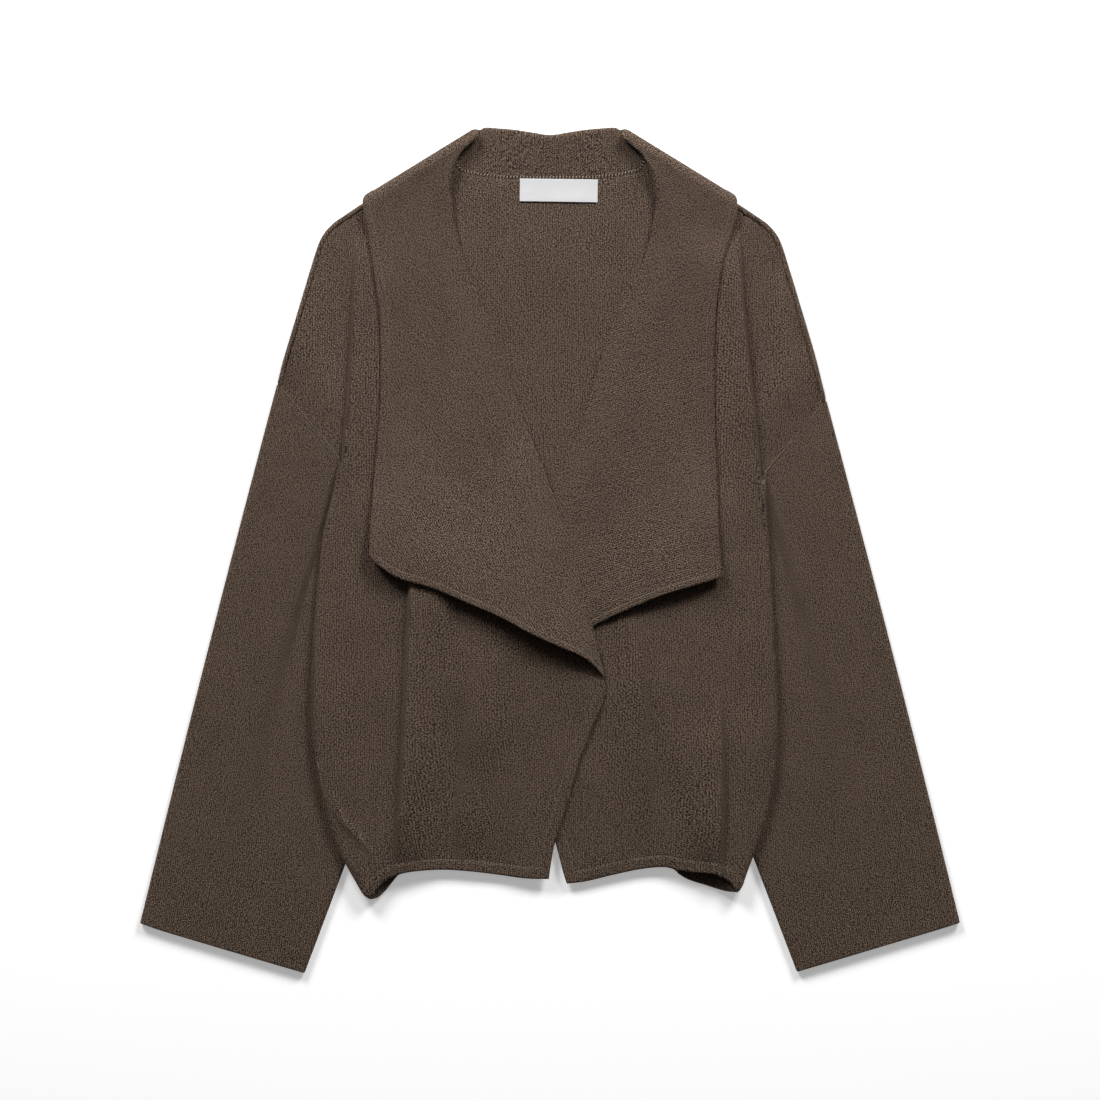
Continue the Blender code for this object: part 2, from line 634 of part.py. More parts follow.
def lapel_section(side, place):
    """A section of a lapel, from its outer edge over the roll to a place on the neck seam."""
    row = len(LAPEL_SECTIONS[side]) - 1 - place
    table = np.array(LAPEL_SECTIONS[side], float)
    roll, edge = through(table[:, 0], row), through(table[:, 1], row)
    neck = through(NECK_SEAM[side], place)
    across = toward(roll, edge)
    at_fold = smooth(1.0 - place / 3.0)
    rise = mix(ROLL_RISE, 2 * STAND_RADIUS, at_fold)
    centre = roll + across * (ON_FLOOR + rise / 2)
    shares = fall_shares(np.linalg.norm(edge - centre))

    lower = at_shares(fine(LAPEL_EDGE[side]), shares)
    bend = lower[:, :2] - mix(lower[0, :2], lower[-1, :2], shares[:, None])
    plan = mix(edge, centre, shares[:, None]) + bend * max(0.0, 1.0 - row / BENT_ROWS) ** 1.5

    near_roll = 1.0 - smooth(np.linalg.norm(plan - centre, axis=1) / 24.0)
    lying = front_height(side, plan[:, 0], plan[:, 1]) + mix(LAPEL_RISE, rise, near_roll)
    lifted = mix(lying, lower[:, 2], np.interp(row, range(len(EDGE_LIFT)), EDGE_LIFT))
    height = mix(np.maximum(lying, lifted), FOLD_HEIGHT + FALL_RADIUS, at_fold)

    stand = height[-1] - rise
    seam = float(front_height(side, neck[0], neck[1]))
    end = neck + toward(neck, centre) * HIDDEN_GAP
    half_way = (*mix(centre, end, 0.5), mix(stand, seam, 0.5))
    turn = turned_roll(centre, across, stand, height[-1])
    return np.array([*with_height(plan, height), *turn, half_way, (*end, seam)])


def fold_section(angle):
    """A section where the collar turns over the shoulder, at an angle from the top of the turn."""
    start, stop = np.array(FOLD_OUTER), np.array(FOLD_ROLL)
    run = toward(start, stop)
    off = np.array([run[1], -run[0]])
    length = np.linalg.norm(stop - start)
    centre = length - ON_FLOOR - STAND_RADIUS
    seam = float(np.dot(np.subtract(BACK_CORNER, start), run)) + 0.5
    places = [(s, FALL_RADIUS) for s in centre * fall_shares(centre)]
    for turn in np.radians(TURN[-2::-1]):
        rise = STAND_RADIUS * (1 - math.sin(turn))
        places.append((centre + STAND_RADIUS * math.cos(turn), FALL_RADIUS - rise))
    inner = FALL_RADIUS - 2 * STAND_RADIUS
    places += [(mix(centre, seam, 0.5), inner), (seam, inner)]
    drift = np.array(FOLD_DRIFT) * max(0.0, angle / (math.pi / 2) - 1.0)
    points = []
    for s, radius in places:
        plan = start + run * s + off * radius * math.sin(angle) + drift * max(0.0, (s - seam) / (length - seam))
        points.append((*plan, FOLD_HEIGHT + radius * math.cos(angle)))
    return np.array(points)


def neck_section(number):
    """A section behind the neck, where the fall lies under the back."""
    roll, edge = np.array(NECK_SECTIONS[number - 1], float)
    neck = np.array(BACK_NECK[number], float)
    stand = mix(ON_FLOOR + 2 * STAND_RADIUS, STAND_TOP_AT_CENTRE, number / len(NECK_SECTIONS))
    across = toward(roll, edge)
    centre = roll + across * (stand + ON_FLOOR) / 2
    shares = fall_shares(np.linalg.norm(edge - centre))
    fall = with_height(mix(edge, centre, shares[:, None]), np.full(len(shares), ON_FLOOR))
    seam = float(back_height(RIGHT, neck[0], neck[1]))
    end = neck + toward(neck, centre) * SEAM_GAP
    half_way = (*mix(centre, end, 0.5), mix(stand, seam, 0.6))
    return np.array([*fall, *turned_roll(centre, across, stand, ON_FLOOR), half_way, (*end, seam)])


def collar_grid():
    """The collar in one piece, from the right lapel round the neck to the left lapel."""
    halves = []
    for side in (RIGHT, LEFT):
        half = [lapel_section(side, place) for place in NECK_ROWS[::-1]]
        half += [fold_section(math.radians(angle)) for angle in FOLD_ANGLES]
        half += [neck_section(number) for number in range(1, len(BACK_NECK))]
        halves.append(on_side(side, np.array(half)))
    grid = np.concatenate([halves[0], halves[1][-2::-1]])
    band = np.zeros(grid.shape[:2], bool)
    lapels = len(NECK_ROWS)
    band[:lapels, :2] = band[-lapels:, :2] = True
    band[0], band[-1] = True, True
    return grid, band


# ---------------------------------------------------------------- label
def label_grid():
    width, depth = LABEL_SIZE
    across, down = np.meshgrid(np.linspace(-width / 2, width / 2, 9), np.linspace(depth / 2, -depth / 2, 4))
    x = LABEL_CENTRE[0] + across * math.cos(LABEL_TILT) - down * math.sin(LABEL_TILT)
    y = LABEL_CENTRE[1] + UP_SHIFT + across * math.sin(LABEL_TILT) + down * math.cos(LABEL_TILT)
    height = back_height(LEFT, np.abs(x), y - UP_SHIFT) + CLOTH / 2 + SEAM_GAP + LABEL_CLOTH / 2
    return np.stack([x, y, height], axis=-1)


# ---------------------------------------------------------------- assembly
for leftover in list(bpy.data.objects):
    bpy.data.objects.remove(leftover)

garment = new_collection("shawl_collar_cardigan")
knits = {}
for slot in ("back", "front_right", "front_left", "collar", "sleeve_right", "sleeve_left"):
    knits[slot] = new_material(slot, CLOTH_COLOUR, 0.95)
label_cloth = new_material("neck_label", LABEL_COLOUR, 0.8)

back_halves = [back_grids(side) for side in (RIGHT, LEFT)]
cloth("back", back_halves[0][0] + back_halves[1][0], CLOTH, knits["back"], garment,
      back_halves[0][1] + back_halves[1][1])
for side, name in ((RIGHT, "right"), (LEFT, "left")):
    grid, band = front_grid(side)
    cloth("front_" + name, [on_side(side, grid)], CLOTH, knits["front_" + name], garment, [band])
    cloth("sleeve_" + name, [sleeve_grid(side)], CLOTH, knits["sleeve_" + name], garment)
grid, band = collar_grid()
cloth("collar", [grid], CLOTH, knits["collar"], garment, [band])
cloth("neck_label", [label_grid()], LABEL_CLOTH, label_cloth, garment)
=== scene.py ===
"""Looks of an open-front knitted cardigan with a draped shawl collar, laid flat on a pale floor.

Each panel of cloth is a fine shell on the form of its solid, with its creases, turned edges and
seams. Sizes are in millimetres, except in names that end in _m, and heights are those of the
middle of the cloth. Most tables give a point as (out, up): "out" is the distance from the centre
line towards one side, negative once it has crossed that line, and "up" points from the hem to the
collar. Right and left are the wearer's.
"""

import logging
import math
from dataclasses import dataclass, field
from enum import Enum
from functools import lru_cache
from typing import Any, Iterable, Optional, Sequence, Union

import bmesh
import bpy
import numpy as np
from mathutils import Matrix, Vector


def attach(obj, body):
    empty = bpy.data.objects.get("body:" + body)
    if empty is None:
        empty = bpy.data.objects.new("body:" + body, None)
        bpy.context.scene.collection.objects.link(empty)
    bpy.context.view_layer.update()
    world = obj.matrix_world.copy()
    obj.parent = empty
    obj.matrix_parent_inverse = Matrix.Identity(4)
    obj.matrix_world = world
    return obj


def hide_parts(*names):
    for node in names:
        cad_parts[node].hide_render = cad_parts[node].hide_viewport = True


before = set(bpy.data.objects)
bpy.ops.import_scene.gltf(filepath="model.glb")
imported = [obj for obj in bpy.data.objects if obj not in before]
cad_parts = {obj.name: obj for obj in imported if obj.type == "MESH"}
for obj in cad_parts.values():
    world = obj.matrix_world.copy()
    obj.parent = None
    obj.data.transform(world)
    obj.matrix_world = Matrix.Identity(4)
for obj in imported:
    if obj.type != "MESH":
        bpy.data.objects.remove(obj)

log = logging.getLogger("cardigan")

Array = np.ndarray
Number = Union[float, "Value"]
Table = Sequence[Sequence[float]]

MM = 0.001
BODY = "root"
GRAIN = "grain"
WHITE = (1.0, 1.0, 1.0, 1.0)
MERGE_M = 2e-6

# Brings the middle of the outline to the origin
UP_SHIFT = 0.87

# Cloth and the gaps at its seams
CLOTH = 1.8
WALL_MOST = 2.7
SEAM_GAP = 0.1
HIDDEN_GAP = 0.7
SLEEVE_GAP = 0.15
ON_FLOOR = CLOTH / 2

# Rises from the middle of one layer to the middle of the next
TUBE_RISE = 4.0
SIDE_START = CLOTH / 2 + 1.0
OVER_SLEEVE = 6.6
OVER_COLLAR = 2.7
NECK_POINT_RISE = 1.4
LAPEL_RISE = 2.7
ROLL_RISE = 4.6
OVER_LEFT_FRONT = 2.4
OVER_LEFT_LAPEL = 2.9
BACK_CORNER = (78.2, 318.1)

# Distances from an edge at which the cloth is sampled: a seam's rounded edge, and a turned band
SEAM_STEPS = (0.0, 0.08, 0.3, 0.7, 1.4, 2.4)
CREST_STEPS = (0.0, 0.35, 0.7, 1.05, 1.4, 1.8, 2.3, 3.0, 4.0, 5.2)
EDGE_STEPS = (0.0, 0.08, 0.35, 0.8, 1.6, 3.0, 5.0, 6.8, 7.7, 8.15, 8.5, 8.9, 9.7, 11.0)
BAND_LINE = 8.5
BAND_PROFILE = (
    # distance, half the wall
    (0.0, 1.2), (1.5, 1.32), (4.5, 1.24), (7.3, 1.34), (8.1, 0.96), (8.5, 0.62), (8.9, 0.78), (10.0, 0.9))
SEAM_ROUND = 0.75
EDGE_ROUND = 1.25
STITCH_LIFT = 0.05

# How wide the body's bands and the collar's are, as shares of the profile above
BODY_BAND = 1.09
COLLAR_BAND = 0.76


class Side(Enum):
    """The wearer's sides, each with the sign that X has there."""

    RIGHT = -1.0
    LEFT = 1.0


# ---------------------------------------------------------------- curves
def smooth(t: Array) -> Array:
    """0 below 0, 1 above 1, and a soft S between."""
    t = np.clip(t, 0.0, 1.0)
    return t * t * (3.0 - 2.0 * t)


def rising(value: Array, start: float, length: float) -> Array:
    """0 up to a start, then a soft rise to 1 over a length."""
    return smooth((value - start) / length)


def fading(value: Array, end: float, length: float) -> Array:
    """1 at first, then a soft fall over a length, to 0 at the end."""
    return smooth((end - value) / length)


def mix(a: Any, b: Any, t: Any) -> Any:
    """The value a share t of the way from a to b."""
    return a + (b - a) * t


def through(rows: Any, at: Any, knots: Optional[Array] = None) -> Array:
    """Reads a table on a smooth curve through its rows.

    Args:
        rows: the table, whose rows are points or whole lines of points.
        at: where to read it, in the units of the knots.
        knots: the place of each row, or its number if left out.

    Returns:
        One row for each value of at.
    """
    rows, at = np.asarray(rows, float), np.asarray(at, float)
    knots = np.arange(len(rows), dtype=float) if knots is None else knots
    slopes = np.gradient(rows, knots, axis=0)
    i = np.clip(np.searchsorted(knots, at, side="right") - 1, 0, len(rows) - 2)
    shape = at.shape + (1,) * (rows.ndim - 1)
    gap = (knots[i + 1] - knots[i]).reshape(shape)
    t = ((at - knots[i]) / (knots[i + 1] - knots[i])).reshape(shape)
    return (
        (2 * t**3 - 3 * t**2 + 1) * rows[i]
        + (t**3 - 2 * t**2 + t) * gap * slopes[i]
        + (3 * t**2 - 2 * t**3) * rows[i + 1]
        + (t**3 - t**2) * gap * slopes[i + 1]
    )


def fine(points: Any) -> Array:
    """A smooth curve through a few points, as many short steps."""
    return through(points, np.linspace(0, len(points) - 1, 24 * len(points)))


def run_of(line: Any, plan: bool = False) -> Array:
    """The distance along a polyline of each of its points, in plan only if asked for."""
    line = np.asarray(line, float)
    steps = np.linalg.norm(np.diff(line[:, :2] if plan else line, axis=0), axis=1)
    return np.concatenate([[0.0], np.cumsum(steps)])


def at_distances(line: Any, distances: Any, plan: bool = False) -> Array:
    """Points at the given distances along a polyline."""
    line, run = np.asarray(line, float), run_of(line, plan)
    return np.stack([np.interp(distances, run, column) for column in line.T], axis=-1)


def shares_of(line: Any) -> Array:
    """How far along a polyline each of its points lies, from 0 to 1."""
    run = run_of(line)
    return run / run[-1]


def at_shares(line: Any, shares: Any) -> Array:
    """Points at the given shares of the way along a polyline."""
    return at_distances(line, np.asarray(shares, float) * run_of(line)[-1])


@lru_cache(maxsize=None)
def rail_points(points: tuple) -> Array:
    """The points of a descending curve, from its lowest up."""
    return fine(points)[::-1]


def rail(points: Any, up: Any) -> Array:
    """For a curve that descends all the way: its "out" at each "up"."""
    line = rail_points(tuple(tuple(point) for point in points))
    return np.interp(up, line[:, 1], line[:, 0])


def toward(a: Any, b: Any) -> Array:
    """The unit vectors in plan from a to b."""
    run = np.asarray(b, float)[..., :2] - np.asarray(a, float)[..., :2]
    return run / np.linalg.norm(run, axis=-1, keepdims=True)


def left_of(a: Any, b: Any, out: Any, up: Any) -> Array:
    """Distance from the line through a and b, positive on its left-hand side."""
    run = toward(a, b)
    return -run[1] * (out - a[0]) + run[0] * (up - a[1])


def coons(first: Array, last: Array, near: Array, far: Array, shares: Array) -> Array:
    """A grid between four curves.

    Args:
        first: the curve of the first row.
        last: the curve of the last row.
        near: the first point of every row.
        far: the last point of every row.
        shares: how far across each column lies.

    Returns:
        Rows of points in plan.
    """
    first, last = at_shares(first, shares), at_shares(last, shares)
    first[[0, -1]], last[[0, -1]] = (near[0], far[0]), (near[-1], far[-1])
    v = np.linspace(0, 1, len(near))[:, None, None]
    u = np.asarray(shares, float)[None, :, None]
    corners = (1 - v) * ((1 - u) * first[0] + u * first[-1]) + v * ((1 - u) * last[0] + u * last[-1])
    across = (1 - u) * near[:, None] + u * far[:, None]
    down = (1 - v) * first[None] + v * last[None]
    return across + down - corners


def respace(lines: Array, near: Sequence[float], far: Sequence[float], count: int, plan: bool = False) -> Array:
    """Moves the points of each line to set distances from its ends, with even ones between.

    Args:
        lines: an array of lines of points.
        near: distances from each line's start.
        far: distances from each line's end, as the same kind of list.
        count: how many points lie between those two groups.
        plan: whether distances are measured in plan only.

    Returns:
        An array of lines, all with the same number of points.
    """
    made = []
    for line in lines:
        total = run_of(line, plan)[-1]
        ends = near[-1] + far[-1]
        squeeze = min(1.0, 0.9 * total / ends) if ends else 1.0
        start = np.array(near) * squeeze
        stop = total - np.array(far)[::-1] * squeeze
        even = np.linspace(start[-1], stop[0], count + 2)[1:-1]
        made.append(at_distances(line, np.concatenate([start, even, stop]), plan))
    return np.array(made)


def turned_grid(grid: Array) -> Array:
    """Rows become columns."""
    return np.swapaxes(grid, 0, 1)


def with_height(plan: Array, height: Array) -> Array:
    """Adds the heights to points in plan."""
    return np.concatenate([plan, height[..., None]], axis=-1)


def lengths(points: Array, axis: int) -> Array:
    """The distance of every point of a grid from its first row (axis 0) or column (axis 1)."""
    steps = np.linalg.norm(np.diff(points, axis=axis), axis=-1)
    start = np.zeros_like(points[:1, :, 0] if axis == 0 else points[:, :1, 0])
    return np.concatenate([start, np.cumsum(steps, axis=axis)], axis=axis)


def rounded(distance: Array, radius: float) -> Array:
    """The share of its thickness that cloth has near an edge with a round lip."""
    t = np.clip(distance / radius, 0.02, 1.0)
    return np.sqrt(1.0 - (1.0 - t) ** 2)


def seam_wall(distance: Array) -> Array:
    """The share of its thickness that cloth keeps near a seam."""
    return rounded(distance, SEAM_ROUND)


def band_steps(width: float) -> tuple[float, ...]:
    """The distances at which a band is sampled, for its share of the usual width."""
    return tuple(step * width for step in EDGE_STEPS)


def band_wall(distance: Array, width: float = BODY_BAND) -> Array:
    """The share of its plain thickness that cloth has near a turned edge, before its round lip."""
    at, half = np.array(BAND_PROFILE).T
    return np.interp(distance / width, at, half) / ON_FLOOR


def crossed(first: Array, second: Array) -> Array:
    """The wall where two bands cross: the thicker of them, with the grooves of both."""
    return np.maximum(first, second) * np.minimum(first, 1.0) * np.minimum(second, 1.0)


# ---------------------------------------------------------------- the cut of each side
@dataclass(frozen=True)
class Fold:
    """A soft ridge along a path, or a trough where its heights are below zero.

    Attributes:
        path: the line of its top, which descends all the way.
        height: its height at each point of the path.
        outer: how wide its flank toward the sleeve is.
        inner: how wide its flank toward the centre is.
        crisp: below 1 for a sharper top.
        joins_side: whether it becomes the turned side of the body lower down.
    """

    path: Table
    height: Sequence[float]
    outer: float
    inner: float
    crisp: float = 1.0
    joins_side: bool = False

    def at(self, out: Array, up: Array) -> Array:
        """The height that the fold adds at some places.

        Args:
            out: distances from the centre line.
            up: distances from the middle of the outline.

        Returns:
            Heights, 0 away from the fold.
        """
        places = np.linspace(0, len(self.path) - 1, 120)
        line = through(self.path, places)[::-1]
        height = through(np.array(self.height)[:, None], places)[::-1, 0]
        off = out - np.interp(up, line[:, 1], line[:, 0])
        slope = np.where(off > 0, off / self.outer, -off / self.inner)
        inside = (up > line[0, 1] - 40) & (up < line[-1, 1] + 40)
        share = 1.0 - smooth(np.clip(slope, 0.0, 1.0) ** self.crisp)
        return np.interp(up, line[:, 1], height) * share * inside


@dataclass(frozen=True)
class Cut:
    """The outlines, seams and folds of one side of the garment.

    Attributes:
        shoulder: the outline of the shoulder and the seam behind its roll, as pairs of points.
        underarm_fold: where the visible armhole seam ends at the side.
        side_edge: the body's side below the armhole, down to the corner of the hem.
        side_crest: the top of the turn along that side.
        neck_seam: the seam under the lapel.
        front_edge: the free edge below the break of the lapel.
        hem: the front's hem, from its narrow corner.
        back_hem: the back's hem, from the side to the middle.
        stations: heights of neck seam, crest and outer edge that are joined to each other.
        turn_under: where the sleeve's end goes under the body.
        underarm: the hidden lowest point of the armhole.
        cuff: the edge of the cuff.
        folds: the ridges and troughs of the front.
        lapel_sections: roll and outer edge of the collar, from the break up to the shoulder.
        lapel_edge: the lower edge of the lapel, with its heights.
        crest_place: where the crest meets the shoulder seam.
        grain: how far the lapel's columns of stitches lean from its sections, in degrees.
    """

    shoulder: Sequence[Table]
    underarm_fold: Sequence[float]
    side_edge: Table
    side_crest: Table
    neck_seam: Table
    front_edge: Table
    hem: Table
    back_hem: Table
    stations: Table
    turn_under: Sequence[float]
    underarm: Sequence[float]
    cuff: Table
    folds: Sequence[Fold]
    lapel_sections: Sequence[Table]
    lapel_edge: Table
    crest_place: float
    grain: float


# The top of the long fold beside each lapel, down to where it becomes the body's side
RIGHT_RIDGE = ((154.6, 217), (156.6, 165), (159.6, 118), (162.0, 92), (163.8, 73), (165.6, 58), (168.0, 40),
               (173.2, 8))
LEFT_RIDGE = ((150.8, 221), (154.0, 177), (158.2, 137), (161.4, 110), (164.0, 83), (166.2, 61), (167.0, 48),
              (167.8, 34), (170.2, -8))
RIGHT_CUT = Cut(
    shoulder=(
        ((218.4, 133.0), (215.4, 129.4)), ((213.6, 152.0), (209.0, 151.0)), ((206.4, 176.0), (201.9, 174.8)),
        ((199.2, 200.0), (194.9, 198.8)), ((192.0, 224.0), (187.9, 222.6)), ((184.0, 248.0), (180.9, 244.9)),
        ((175.2, 260.0), (172.6, 256.3)), ((164.0, 268.0), (161.9, 263.9)), ((148.0, 278.3), (145.7, 274.4)),
        ((115.0, 298.6), (112.5, 294.3)), ((79.7, 320.6), (76.9, 316.1))),
    underarm_fold=(168.3, 73.0),
    side_edge=((168.3, 73), (170.6, 60), (173.6, 45), (181.6, 10.4), (188.8, -64.8), (191.2, -115),
               (188.8, -160), (181.6, -200), (171.2, -235), (155, -266), (148.5, -276), (143, -279.4)),
    side_crest=((157, 264.7), (155, 241), *RIGHT_RIDGE, (182.4, -65), (185.2, -115), (183, -160),
                (176, -199), (166, -231), (149, -262), (144, -269), (139.5, -272.6)),
    neck_seam=((76.9, 316.1), (92, 298), (96, 281), (93, 254), (84, 224), (69, 192), (52, 150), (37, 106),
               (21, 71), (5, 30), (-10, -16), (-26, -66), (-38, -97)),
    front_edge=((-44.9, -107), (-44.3, -115), (-42.2, -123.4), (-36.6, -135.9), (-32.2, -146), (-22.7, -172),
                (-13.9, -202.6), (-4, -234), (-0.3, -254.2), (0.9, -263)),
    hem=((143, -279.4), (140.6, -274.4), (136, -268.4), (132, -264.6), (126, -261.2), (112, -257.4),
         (88, -255.8), (65, -257), (40, -260), (20, -262.6), (0.9, -263)),
    back_hem=((143, -279.4), (137.6, -277.8), (132, -272.9), (127, -266.9), (121.6, -260.6), (112, -253),
              (88, -243), (40, -232.5), (0, -230.4)),
    stations=((316.1, 264.7, 129.4), (215, 180, 102), (106, 100, 84), (71, 78, 73), (50, 60, 59),
              (18, 36, 42), (0, 8, 10), (-98, -100, -98), (-190, -190, -190), (-234, -250, -250),
              (-254.2, -266, -272.5), (-263, -272.6, -279.4)),
    turn_under=(173.4, 46.5),
    underarm=(86.0, -44.0),
    cuff=((328.2, -298.6), (310.0, -304.9), (269.6, -317.0), (229.6, -328.9), (196.4, -338.6)),
    folds=(
        Fold(((154.4, 252), *RIGHT_RIDGE), (0, 3.8, 6.2, 7.8, 7.6, 7.0, 6.8, 6.6, 6.6), 4.0, 52.0, 0.8, True),
        Fold(((196, 226), (201, 191), (206, 159), (211, 132)), (0, 2.2, 2.2, 0), 8.0, 22.0),
        Fold(((110.2, 16), (110.4, -24), (111.2, -60), (113.6, -112), (117.2, -185), (120.4, -226), (121.6, -250)),
             (0, 7.2, 8.4, 8.0, 7.2, 5.2, 0.8), 3.6, 46.0, 0.8),
        Fold(((86, 14), (85.4, -24), (84.8, -52), (84, -86)), (0, 3.2, 2.8, 0), 25.0, 13.0),
        Fold(((58.5, -78), (59, -118), (63, -160), (69.4, -212), (71, -246)), (0, 2.8, 5.0, 5.2, 1.0), 9.0, 36.0),
        Fold(((171, 4), (180, -65), (183, -115), (180, -160), (172, -200)), (0, 1.8, 2.6, 2.4, 0), 14.0, 30.0),
        Fold(((178, -186), (168, -212), (152, -230), (140, -246)), (0, 1.8, 1.6, 0), 6.0, 5.0),
    ),
    lapel_sections=(
        ((-44.0, -102.0), (144.2, -4.8)), ((-37.0, -71.0), (143.0, 20)), ((-23.0, -20.0), (141.0, 47)),
        ((-10.0, 24.0), (138.6, 76)), ((5.0, 65.0), (136.5, 103)), ((20.0, 103.0), (135.2, 131)),
        ((35.5, 149.0), (135.0, 158)), ((52.0, 191.0), (135.7, 184)), ((66.0, 226.0), (138.3, 207)),
        ((75.5, 262.0), (141.5, 229)), ((78.8, 292.0), (144.7, 250)), ((73.0, 314.5), (147.6, 264)),
        ((61.5, 326.8), (149.6, 273))),
    lapel_edge=((144.2, -4.8, 20.0), (136.0, -12.8, 22.6), (120.0, -22.4, 22.8), (93.6, -29.8, 22.4),
                (67.2, -40.6, 24.0), (40.0, -51.8, 24.6), (16.0, -64.6, 24.4), (-8.0, -75.0, 23.0),
                (-24.0, -82.0, 19.6), (-33.6, -89.4, 15.4), (-40.4, -97.2, 11.6)),
    crest_place=7.25,
    grain=38.0,
)
LEFT_CUT = Cut(
    shoulder=(
        ((221.3, 119.8), (218.4, 116.3)), ((213.6, 151.0), (208.4, 150.0)), ((206.4, 176.0), (201.1, 174.6)),
        ((199.2, 200.0), (194.6, 198.8)), ((192.0, 224.0), (187.6, 222.6)), ((184.0, 248.0), (180.6, 244.5)),
        ((175.2, 260.0), (172.4, 256.0)), ((164.0, 268.0), (161.7, 263.6)), ((148.0, 278.3), (145.5, 274.1)),
        ((115.0, 298.6), (112.4, 294.1)), ((79.7, 320.6), (76.9, 316.1))),
    underarm_fold=(172.4, 61.0),
    side_edge=((172.4, 61), (172.3, 48), (172.8, 34), (175.8, -8), (179.4, -74), (182, -120),
               (181, -166), (175.5, -203), (168.2, -229), (159, -254), (153.5, -269), (150, -273.6)),
    side_crest=((153, 266.6), (150.8, 243), *LEFT_RIDGE, (174, -74), (176.2, -120), (175, -166),
                (170, -201), (163, -226), (154, -251), (149.5, -263), (146.5, -268.6)),
    neck_seam=((76.9, 316.1), (93, 298), (99, 281), (96, 254), (84, 224), (67, 190), (51, 150), (37, 106),
               (24, 71), (6, 30), (-8, -16), (-22, -66), (-33, -98)),
    front_edge=((-38, -110), (-33, -122), (-25, -143), (-15, -172), (-5, -203), (4, -233), (10.6, -258.2),
                (13.4, -267)),
    hem=((150, -273.6), (145.7, -267.2), (141.1, -263.4), (135.4, -260.3), (129.7, -258.5), (116, -257.6),
         (102, -256.0), (91, -253.6), (72, -255.4), (51, -259.8), (29.3, -265), (13.4, -267)),
    back_hem=((150, -273.6), (141.1, -273.0), (132.6, -270.9), (124, -268.2), (115.4, -265.6), (109, -263.1),
              (103, -259.4), (97.7, -255.0), (72, -241), (38, -232.5), (0, -230.4)),
    stations=((316.1, 266.6, 116.3), (215, 180, 92), (106, 90, 70), (71, 66, 61), (50, 48, 47),
              (18, 30, 30), (0, 8, 8), (-98, -100, -98), (-190, -190, -190), (-233, -243, -243),
              (-258.2, -261, -267), (-267, -268.6, -273.6)),
    turn_under=(173.4, 35.0),
    underarm=(88.0, -50.0),
    cuff=((328.2, -298.2), (312.0, -303.4), (270.0, -316.0), (230.0, -328.0), (197.6, -337.6)),
    folds=(
        Fold(((150.6, 256), *LEFT_RIDGE), (0, 6.4, 8.6, 9.6, 9.2, 8.2, 7.0, 6.8, 6.6, 6.6), 3.2, 54.0, 0.8, True),
        Fold(((184, 222), (187, 180), (190, 150), (193, 122), (196, 104)), (0, 2.4, 2.6, 1.6, 0), 12.0, 16.0),
        Fold(((133, -84), (135, -130), (136.4, -160), (136.4, -200), (135.6, -232), (135.8, -252)),
             (0, 2.8, 5.8, 7.0, 6.2, 3.0), 3.6, 46.0, 0.8),
        Fold(((70, -50), (73, -100), (74.6, -150), (77, -185), (79, -230)), (0, 2.8, 3.4, 2.6, 0), 5.0, 34.0),
        Fold(((167, 0), (172, -74), (174, -120), (172, -166), (166, -202)), (0, 1.8, 2.4, 2.2, 0), 12.0, 26.0),
        Fold(((118, -126), (119, -172), (118, -222)), (0, -1.2, 0), 12.0, 12.0),
    ),
    lapel_sections=(
        ((-39.0, -102.0), (137.6, -21.6)), ((-31.0, -68.0), (135.0, 6)), ((-20.0, -20.0), (134.0, 36)),
        ((-8.0, 24.0), (132.8, 70)), ((10.5, 67.0), (131.8, 98)), ((25.0, 103.0), (131.2, 127)),
        ((38.5, 150.0), (131.3, 158)), ((53.0, 188.0), (131.9, 184)), ((69.0, 218.0), (134.2, 208)),
        ((79.5, 250.0), (138.4, 232)), ((84.5, 284.0), (144.0, 250)), ((76.0, 312.0), (148.6, 263)),
        ((61.5, 326.8), (149.8, 273))),
    lapel_edge=((137.6, -21.6, 18.0), (127.2, -24.8, 20.6), (113.6, -28.8, 21.4), (86.4, -37.2, 20.2),
                (53.6, -51.0, 14.6), (33.3, -61.4, 8.6), (10.0, -75.0, 7.8), (-14.0, -88.0, 7.8),
                (-34.0, -98.6, 8.0)),
    crest_place=7.5,
    grain=6.0,
)
CUTS = {Side.RIGHT: RIGHT_CUT, Side.LEFT: LEFT_CUT}
BACK_NECK = ((78.2, 318.1), (73.5, 306.5), (62, 302), (42, 299), (21, 298.2), (0, 298))


# ---------------------------------------------------------------- how the layers lie
@dataclass(frozen=True)
class Ripple:
    """One slow wave of the cloth: its height, its length, the way it runs and where it starts."""

    height: float
    length: float
    heading: float
    start: float

    def at(self, x: Array, y: Array) -> Array:
        """The wave's height at points of the plan."""
        turn = 2 * math.pi / self.length
        along = x * math.cos(self.heading) + y * math.sin(self.heading)
        return self.height * np.sin(turn * along + self.start)


